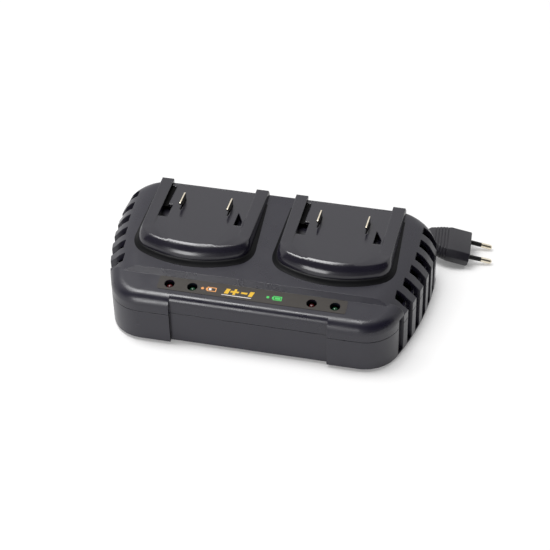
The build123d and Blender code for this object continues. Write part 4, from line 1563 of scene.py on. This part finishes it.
@dataclass
class PlugBody:
    """The flat two-pin plug: bevelled body, and a broad ribbed neck that the lead enters."""

    place: PlugPlace = field(default_factory=PlugPlace)
    width: float = 35.3
    thickness: float = 13.7
    bevel: float = 4.6
    bevel_edge: float = 0.5
    edge: float = 0.8
    edge_round: Pair = (0.35, 0.6)  # of the edge: how far back and how much narrower
    sharp_from: float = 28.0  # degrees
    body: float = 17.0
    neck_start: float = 18.6
    neck_inset: Pair = (1.2, 0.5)  # off the width and the thickness
    neck_taper: Pair = (8.4, 1.7)
    taper_bow: float = 1.5
    rib_count: int = 5
    rib_pitch: float = 2.5
    rib_depth: float = 0.55
    rib: tuple[Pair, ...] = ((0.1, 0.0), (0.2, 1.0), (0.42, 1.0), (0.52, 0.0), (0.95, 0.0))
    ends: tuple[Point, ...] = (
        # behind the face, width and thickness
        (33.4, 24.0, 11.2),
        (36.6, 16.5, 9.6),
        (39.6, 11.4, 8.6),
        (41.0, 9.6, 7.8),
    )

    def ring(self, back: float, width: float, thickness: float) -> list[Vector]:
        """One section of the plug.

        Args:
            back: millimetres behind the face.
            width: across both pins.
            thickness: across the flats.

        Returns:
            The section's points.
        """
        bevel = self.bevel * thickness / self.thickness
        half, flat = width / 2, thickness / 2
        corners = [
            (half, flat - bevel),
            (half - bevel, flat),
            (bevel - half, flat),
            (-half, flat - bevel),
        ]
        corners += [(-x, -y) for x, y in corners]
        place = self.place.frame_at(back)
        outline = rounded(corners, self.bevel_edge)
        return [place @ (Vector((x, y, 0)) * MM) for x, y in outline]

    def sections(self) -> list[Point]:
        """The plug's sections from its face to the lead.

        Returns:
            Distance behind the face, width and thickness of each.
        """
        width, thickness, edge = self.width, self.thickness, self.edge
        neck_width, neck_thickness = width - self.neck_inset[0], thickness - self.neck_inset[1]
        back, less = self.edge_round
        sections = [
            (0.0, width - 2 * edge, thickness - 2 * edge),
            (edge * back, width - edge * less, thickness - edge * less),
            (edge, width, thickness),
            (self.body, width, thickness),
            (self.neck_start, neck_width, neck_thickness),
        ]
        for number in range(self.rib_count):
            for along, inset in self.rib:
                share = (number + along) / self.rib_count
                groove = 2 * inset * self.rib_depth
                sections.append(
                    (
                        self.neck_start + (number + along) * self.rib_pitch,
                        neck_width - self.neck_taper[0] * share**self.taper_bow - groove,
                        neck_thickness - self.neck_taper[1] * share - groove,
                    )
                )
        return sections + list(self.ends)

    def build(self) -> Piece:
        """Makes the plug's body.

        Returns:
            The body.
        """
        mesh = bmesh.new()
        loft(mesh, [self.ring(*section) for section in self.sections()])
        body = mesh_object("plug_body_ribbed", mesh)
        shade_edges(body, self.sharp_from)
        dress(body, PLUG_PVC)
        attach(body, "root")
        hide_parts("plug_body")
        log.info("plug body: %d ribs", self.rib_count)
        return body


# ---- lamps and printed marks --------------------------------------------------------


@dataclass
class LampPanel:
    """The sloping panel in front: four round lamps in their holes and the marks beside
    them, which stand where they are read from the left."""

    slope: float = 6.0
    foot_y: float = -37.75
    foot_z: float = 47.6
    row: float = -7.4
    inner_offset: float = 46.3
    outer_offset: float = 64.2
    lamp_radius: float = 2.5
    lamp_length: float = 8.6
    lamp_depth: float = 1.6
    collar: Pair = (0.4, 1.0)  # its overhang and height
    pole: float = 0.05  # radius of the small flat under the lamp
    dome_steps: int = 8
    dome_turn: float = 88.0  # degrees
    lamp_points: int = 32
    sharp_from: float = 40.0  # degrees
    film: float = 0.25
    ink: float = 0.03
    dot_radius: float = 1.15
    dot_points: int = 28
    line: float = 0.7  # of a battery's outline
    battery_half: float = 2.1
    battery_pole: float = 0.9
    level_half: float = 1.0
    charging_dot: float = -38.2  # this and the next five lie across the panel
    charging_battery: Pair = (-34.6, -27.4)
    charging_level: Pair = (-33.3, -31.2)
    full_dot: float = 12.6
    full_battery: Pair = (16.7, 23.4)
    full_level: Pair = (18.0, 22.2)
    rule: tuple[float, ...] = (-22.6, 0.2, -3.9, -3.3, 0.1)  # as a bar's arguments
    signs: tuple[tuple[float, ...], ...] = (
        # a plus and a minus sign between two leaning bars
        (-21.2, -18.0, -2.2, 2.9, 1.3),
        (-16.6, -10.2, -0.4, 1.4, 0.4),
        (-14.6, -12.7, -2.4, -0.4, 0.4),
        (-13.9, -12.0, 1.4, 3.4, 0.4),
        (-8.4, -3.6, -0.4, 1.4, 0.4),
        (-2.6, 0.6, -2.2, 2.9, 1.3),
    )

    def place(self) -> Matrix:
        """The panel's own axes: X across, Y up the slope, Z out of it."""
        return (
            Matrix.Scale(MM, 4)
            @ Matrix.Translation((0, self.foot_y, self.foot_z))
            @ Matrix.Rotation(radians(self.slope), 4, "X")
        )

    def lamps(self, name: str, offsets: Sequence[float], finish: Finish, slot: str) -> None:
        """Makes a pair of domed lamps.

        Args:
            name: the pair's name, which is its solids' name too.
            offsets: where they stand across the panel.
            finish: their tinted epoxy.
            slot: the record's material slot; not used.
        """
        mesh = bmesh.new()
        foot = -self.lamp_depth - self.lamp_length
        shoulder = self.lamp_length - self.lamp_radius
        overhang, height = self.collar
        wide = self.lamp_radius + overhang
        profile = [(self.pole, 0.0), (wide, 0.0), (wide, height), (self.lamp_radius, height)]
        for step in range(self.dome_steps + 1):
            turn = radians(self.dome_turn * step / self.dome_steps)
            rise = shoulder + self.lamp_radius * sin(turn)
            profile.append((self.lamp_radius * cos(turn), rise))
        for offset in offsets:
            place = self.place() @ Matrix.Translation((offset, self.row, foot))
            loft(mesh, turned_rings(profile, place, self.lamp_points))
        pair = mesh_object(f"{name}_domed", mesh)
        shade_edges(pair, self.sharp_from)
        dress(pair, finish)
        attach(pair, "root")
        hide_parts(name)
        log.info("lamps: %s", name)

    def mark(self, name: str, outlines: Sequence[Sequence[Pair]], finish: Finish) -> None:
        """Prints flat outlines on the film.

        Args:
            name: the mark's name.
            outlines: closed outlines across and up the panel, from the lamps' row.
            finish: the ink.
        """
        mesh = bmesh.new()
        place = self.place()
        for outline in outlines:
            rings = [
                [place @ Vector((x, self.row + y, height)) for x, y in outline]
                for height in (self.film, self.film + self.ink)
            ]
            loft(mesh, rings)
        piece = mesh_object(name, mesh, smooth=False)
        dress(piece, finish)
        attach(piece, "root")
        log.info("mark: %s", name)

    def dot(self, x: float) -> list[Pair]:
        """A round dot beside the lamps' row."""
        turns = [2 * pi * step / self.dot_points for step in range(self.dot_points)]
        return [(x + self.dot_radius * cos(turn), self.dot_radius * sin(turn)) for turn in turns]

    @staticmethod
    def bar(left: float, right: float, low: float, high: float, lean: float = 0.0) -> list[Pair]:
        """A bar with upright or leaning ends."""
        return [(left, low), (right, low), (right + lean, high), (left + lean, high)]

    def battery(self, left: float, right: float) -> list[list[Pair]]:
        """The outline of a battery with its pole on the left.

        Args:
            left: its left edge without the pole.
            right: its right edge.

        Returns:
            Bars of one line's width.
        """
        half, line = self.battery_half, self.line
        return [
            self.bar(left, right, half - line, half),
            self.bar(left, right, -half, line - half),
            self.bar(left, left + line, line - half, half - line),
            self.bar(right - line, right, line - half, half - line),
            self.bar(left - self.battery_pole, left, -half / 2, half / 2),
        ]

    def build(self) -> None:
        """Makes the lamps and all marks."""
        inner, outer = self.inner_offset, self.outer_offset
        self.lamps("red_lamps", (-outer, inner), RED_LENS, "red_lens")
        self.lamps("green_lamps", (-inner, outer), GREEN_LENS, "green_lens")
        bar, level = self.bar, (-self.level_half, self.level_half)
        self.mark("mark_charging_dot", [self.dot(self.charging_dot)], ORANGE_INK)
        self.mark("mark_charging_battery", self.battery(*self.charging_battery), ORANGE_INK)
        self.mark("mark_charging_level", [bar(*self.charging_level, *level)], WHITE_INK)
        self.mark("mark_full_dot", [self.dot(self.full_dot)], GREEN_INK)
        self.mark("mark_full_battery", self.battery(*self.full_battery), GREEN_INK)
        self.mark("mark_full_level", [bar(*self.full_level, *level)], GREEN_INK)
        self.mark("mark_rule", [bar(*self.rule)], WHITE_INK)
        self.mark("mark_polarity", [bar(*sign) for sign in self.signs], YELLOW_INK)


# ---- studio -------------------------------------------------------------------------


@dataclass(frozen=True)
class SoftLamp:
    """A soft lamp that faces the charger: places and sizes in metres, power in watts."""

    name: str
    place: Point
    sides: Pair
    power: float
    target: Point = (0, 0, 0.03)

    def build(self) -> None:
        """Hangs the lamp."""
        data = bpy.data.lights.new(self.name, "AREA")
        data.shape = "RECTANGLE"
        data.size, data.size_y = self.sides
        data.energy = self.power
        lamp = bpy.data.objects.new(self.name, data)
        away = Vector(self.place) - Vector(self.target)
        turned = away.to_track_quat("Z", "Y").to_matrix().to_4x4()
        lamp.matrix_world = Matrix.Translation(self.place) @ turned
        bpy.context.scene.collection.objects.link(lamp)


@dataclass
class Studio:
    """A white sweep, a white room with a dark gap high in front of it, and two soft
    lamps."""

    azimuth: float = 13.91  # degrees, as are the next two
    elevation: float = 41.31
    roll: float = -1.48
    position: Point = (260.6, -1022.25, 955.1)
    focal_px: float = 1800.84
    frame_px: float = 550.0
    sensor: float = 36.0
    view_end: float = 50.0  # metres
    floor_half: float = 4.0  # metres
    shadow_reach: float = 15.0  # how near a piece dims the floor under it
    shadow_samples: int = 8
    shadow_open: Pair = (0.45, 0.92)  # how open such a place is, darkest and palest
    shadow_glow: Pair = (0.15, 0.66)  # share of plain white there
    aside: Pair = (-0.45, 0.1)  # how far to the right the gap gets its full depth
    gap_light: Pair = (0.16, 0.04)
    low_aside: Pair = (-0.3, 0.15)
    low_light: Pair = (0.55, 0.2)  # below the gap
    gap_start: Pair = (20.0, 34.0)  # degrees above the front, fading in
    gap_end: Pair = (76.0, 96.0)  # fading out
    lamps: tuple[SoftLamp, ...] = (
        SoftLamp("overhead softbox", (-0.33, 0.05, 1.1), (0.4, 0.6), 9.6),
        SoftLamp("low front card", (-0.34, -0.95, 0.32), (0.42, 0.42), 4.6),
    )

    def camera(self) -> None:
        """Sets up the camera."""
        data = bpy.data.cameras.new("camera")
        data.sensor_width = self.sensor
        data.lens = self.focal_px * self.sensor / self.frame_px
        data.clip_end = self.view_end
        az, el, turn = radians(self.azimuth), radians(self.elevation), radians(self.roll)
        back = Vector((sin(az) * cos(el), -cos(az) * cos(el), sin(el)))
        level = Vector((cos(az), sin(az), 0))
        raised = back.cross(level)
        right = level * cos(turn) + raised * sin(turn)
        up = raised * cos(turn) - level * sin(turn)
        camera = bpy.data.objects.new("camera", data)
        turned = Matrix((right, up, back)).transposed().to_4x4()
        camera.matrix_world = Matrix.Translation(Vector(self.position) * MM) @ turned
        bpy.context.scene.collection.objects.link(camera)
        bpy.context.scene.camera = camera

    def sweep_paper(self) -> bpy.types.Material:
        """White paper that keeps a soft shadow and is else plain white to the eye.

        Returns:
            The material.
        """
        material = bpy.data.materials.new("white paper sweep")
        material.use_nodes = True
        tree = material.node_tree
        tree.nodes.clear()
        paper = add_node(tree, "ShaderNodeBsdfDiffuse", {"Color": linear("#fbfafa")})
        glow = add_node(
            tree, "ShaderNodeEmission", {"Color": linear("#ffffff"), "Strength": 1.0}
        )
        ray = add_node(tree, "ShaderNodeLightPath").outputs
        seen = ray["Is Camera Ray"]
        for other in ("Is Glossy Ray", "Is Transmission Ray"):
            seen = add_node(
                tree, "ShaderNodeMath", {"operation": "MAXIMUM"}, {0: seen, 1: ray[other]}
            ).outputs[0]
        openness = add_node(
            tree,
            "ShaderNodeAmbientOcclusion",
            {"samples": self.shadow_samples, "Distance": self.shadow_reach * MM},
        ).outputs["AO"]
        limits = zip(
            ("From Min", "From Max", "To Min", "To Max"), self.shadow_open + self.shadow_glow
        )
        lift = add_node(
            tree, "ShaderNodeMapRange", dict(limits), {"Value": openness}
        ).outputs["Result"]
        share = add_node(
            tree, "ShaderNodeMath", {"operation": "MULTIPLY"}, {0: seen, 1: lift}
        ).outputs[0]
        mixed = add_node(
            tree,
            "ShaderNodeMixShader",
            links={0: share, 1: paper.outputs["BSDF"], 2: glow.outputs["Emission"]},
        ).outputs["Shader"]
        add_node(tree, "ShaderNodeOutputMaterial", links={"Surface": mixed})
        return material

    def floor(self) -> None:
        """Lays the white floor."""
        mesh = bmesh.new()
        corners = ((-1, -1), (1, -1), (1, 1), (-1, 1))
        half = self.floor_half
        mesh.faces.new([mesh.verts.new((x * half, y * half, 0)) for x, y in corners])
        floor = mesh_object("floor", mesh, smooth=False)
        floor.data.materials.append(self.sweep_paper())

    def sky(self) -> None:
        """Surrounds the charger with a white room that has a dark gap high in front.

        The gap darkens the rounded edges that face it, more so on the right.
        """
        world = bpy.data.worlds.new("white room")
        world.use_nodes = True
        tree = world.node_tree
        tree.nodes.clear()
        way = add_node(tree, "ShaderNodeTexCoord").outputs["Generated"]
        az = radians(self.azimuth)
        front, right = (
            add_node(
                tree, "ShaderNodeVectorMath", {"operation": "DOT_PRODUCT", 1: axis}, {0: way}
            ).outputs["Value"]
            for axis in ((sin(az), -cos(az), 0), (cos(az), sin(az), 0))
        )
        height = add_node(tree, "ShaderNodeSeparateXYZ", links={0: way}).outputs["Z"]
        over = add_node(
            tree, "ShaderNodeMath", {"operation": "ARCTAN2"}, {0: height, 1: front}
        ).outputs[0]
        start, end = (
            tuple(radians(angle) for angle in angles) for angles in (self.gap_start, self.gap_end)
        )
        gap, low, into_gap, out_of_gap = (
            add_node(
                tree,
                "ShaderNodeMapRange",
                dict(zip(("From Min", "From Max", "To Min", "To Max"), limits)),
                {"Value": value},
            ).outputs["Result"]
            for value, limits in (
                (right, self.aside + self.gap_light),
                (right, self.low_aside + self.low_light),
                (over, start + WHOLE),
                (over, end + WHOLE),
            )
        )
        fall = add_node(
            tree, "ShaderNodeMix", {"data_type": "FLOAT"}, {0: into_gap, 2: low, 3: gap}
        ).outputs[0]
        strength = add_node(
            tree, "ShaderNodeMath", {"operation": "MAXIMUM"}, {0: fall, 1: out_of_gap}
        ).outputs[0]
        glow = add_node(
            tree, "ShaderNodeBackground", {"Color": linear("#ffffff")}, {"Strength": strength}
        ).outputs["Background"]
        add_node(tree, "ShaderNodeOutputWorld", links={"Surface": glow})
        bpy.context.scene.world = world

    def build(self) -> None:
        """Sets up camera, floor, sky and lamps."""
        bpy.context.scene.view_settings.view_transform = "Standard"
        self.camera()
        self.floor()
        self.sky()
        for lamp in self.lamps:
            lamp.build()
        log.info("studio: %d lamps", len(self.lamps))


def main() -> None:
    """Builds the studio and the charger's pieces in order."""
    Studio().build()
    lead = MainsLead()
    curve = lead.build()
    boot = StrainRelief().build()
    plug = PlugBody().build()
    for bay in Bay:
        ContactBlades(bay).build()
    for bay in Bay:
        RailSlot().build(bay)
        NoseShadeBand().build(bay)
    SolidPieces().build()
    LampPanel().build()
    tuple(value * MM for value in lead.relief_tip)
    lead.length
    log.info("charger complete")


if __name__ == "__main__":
    main()
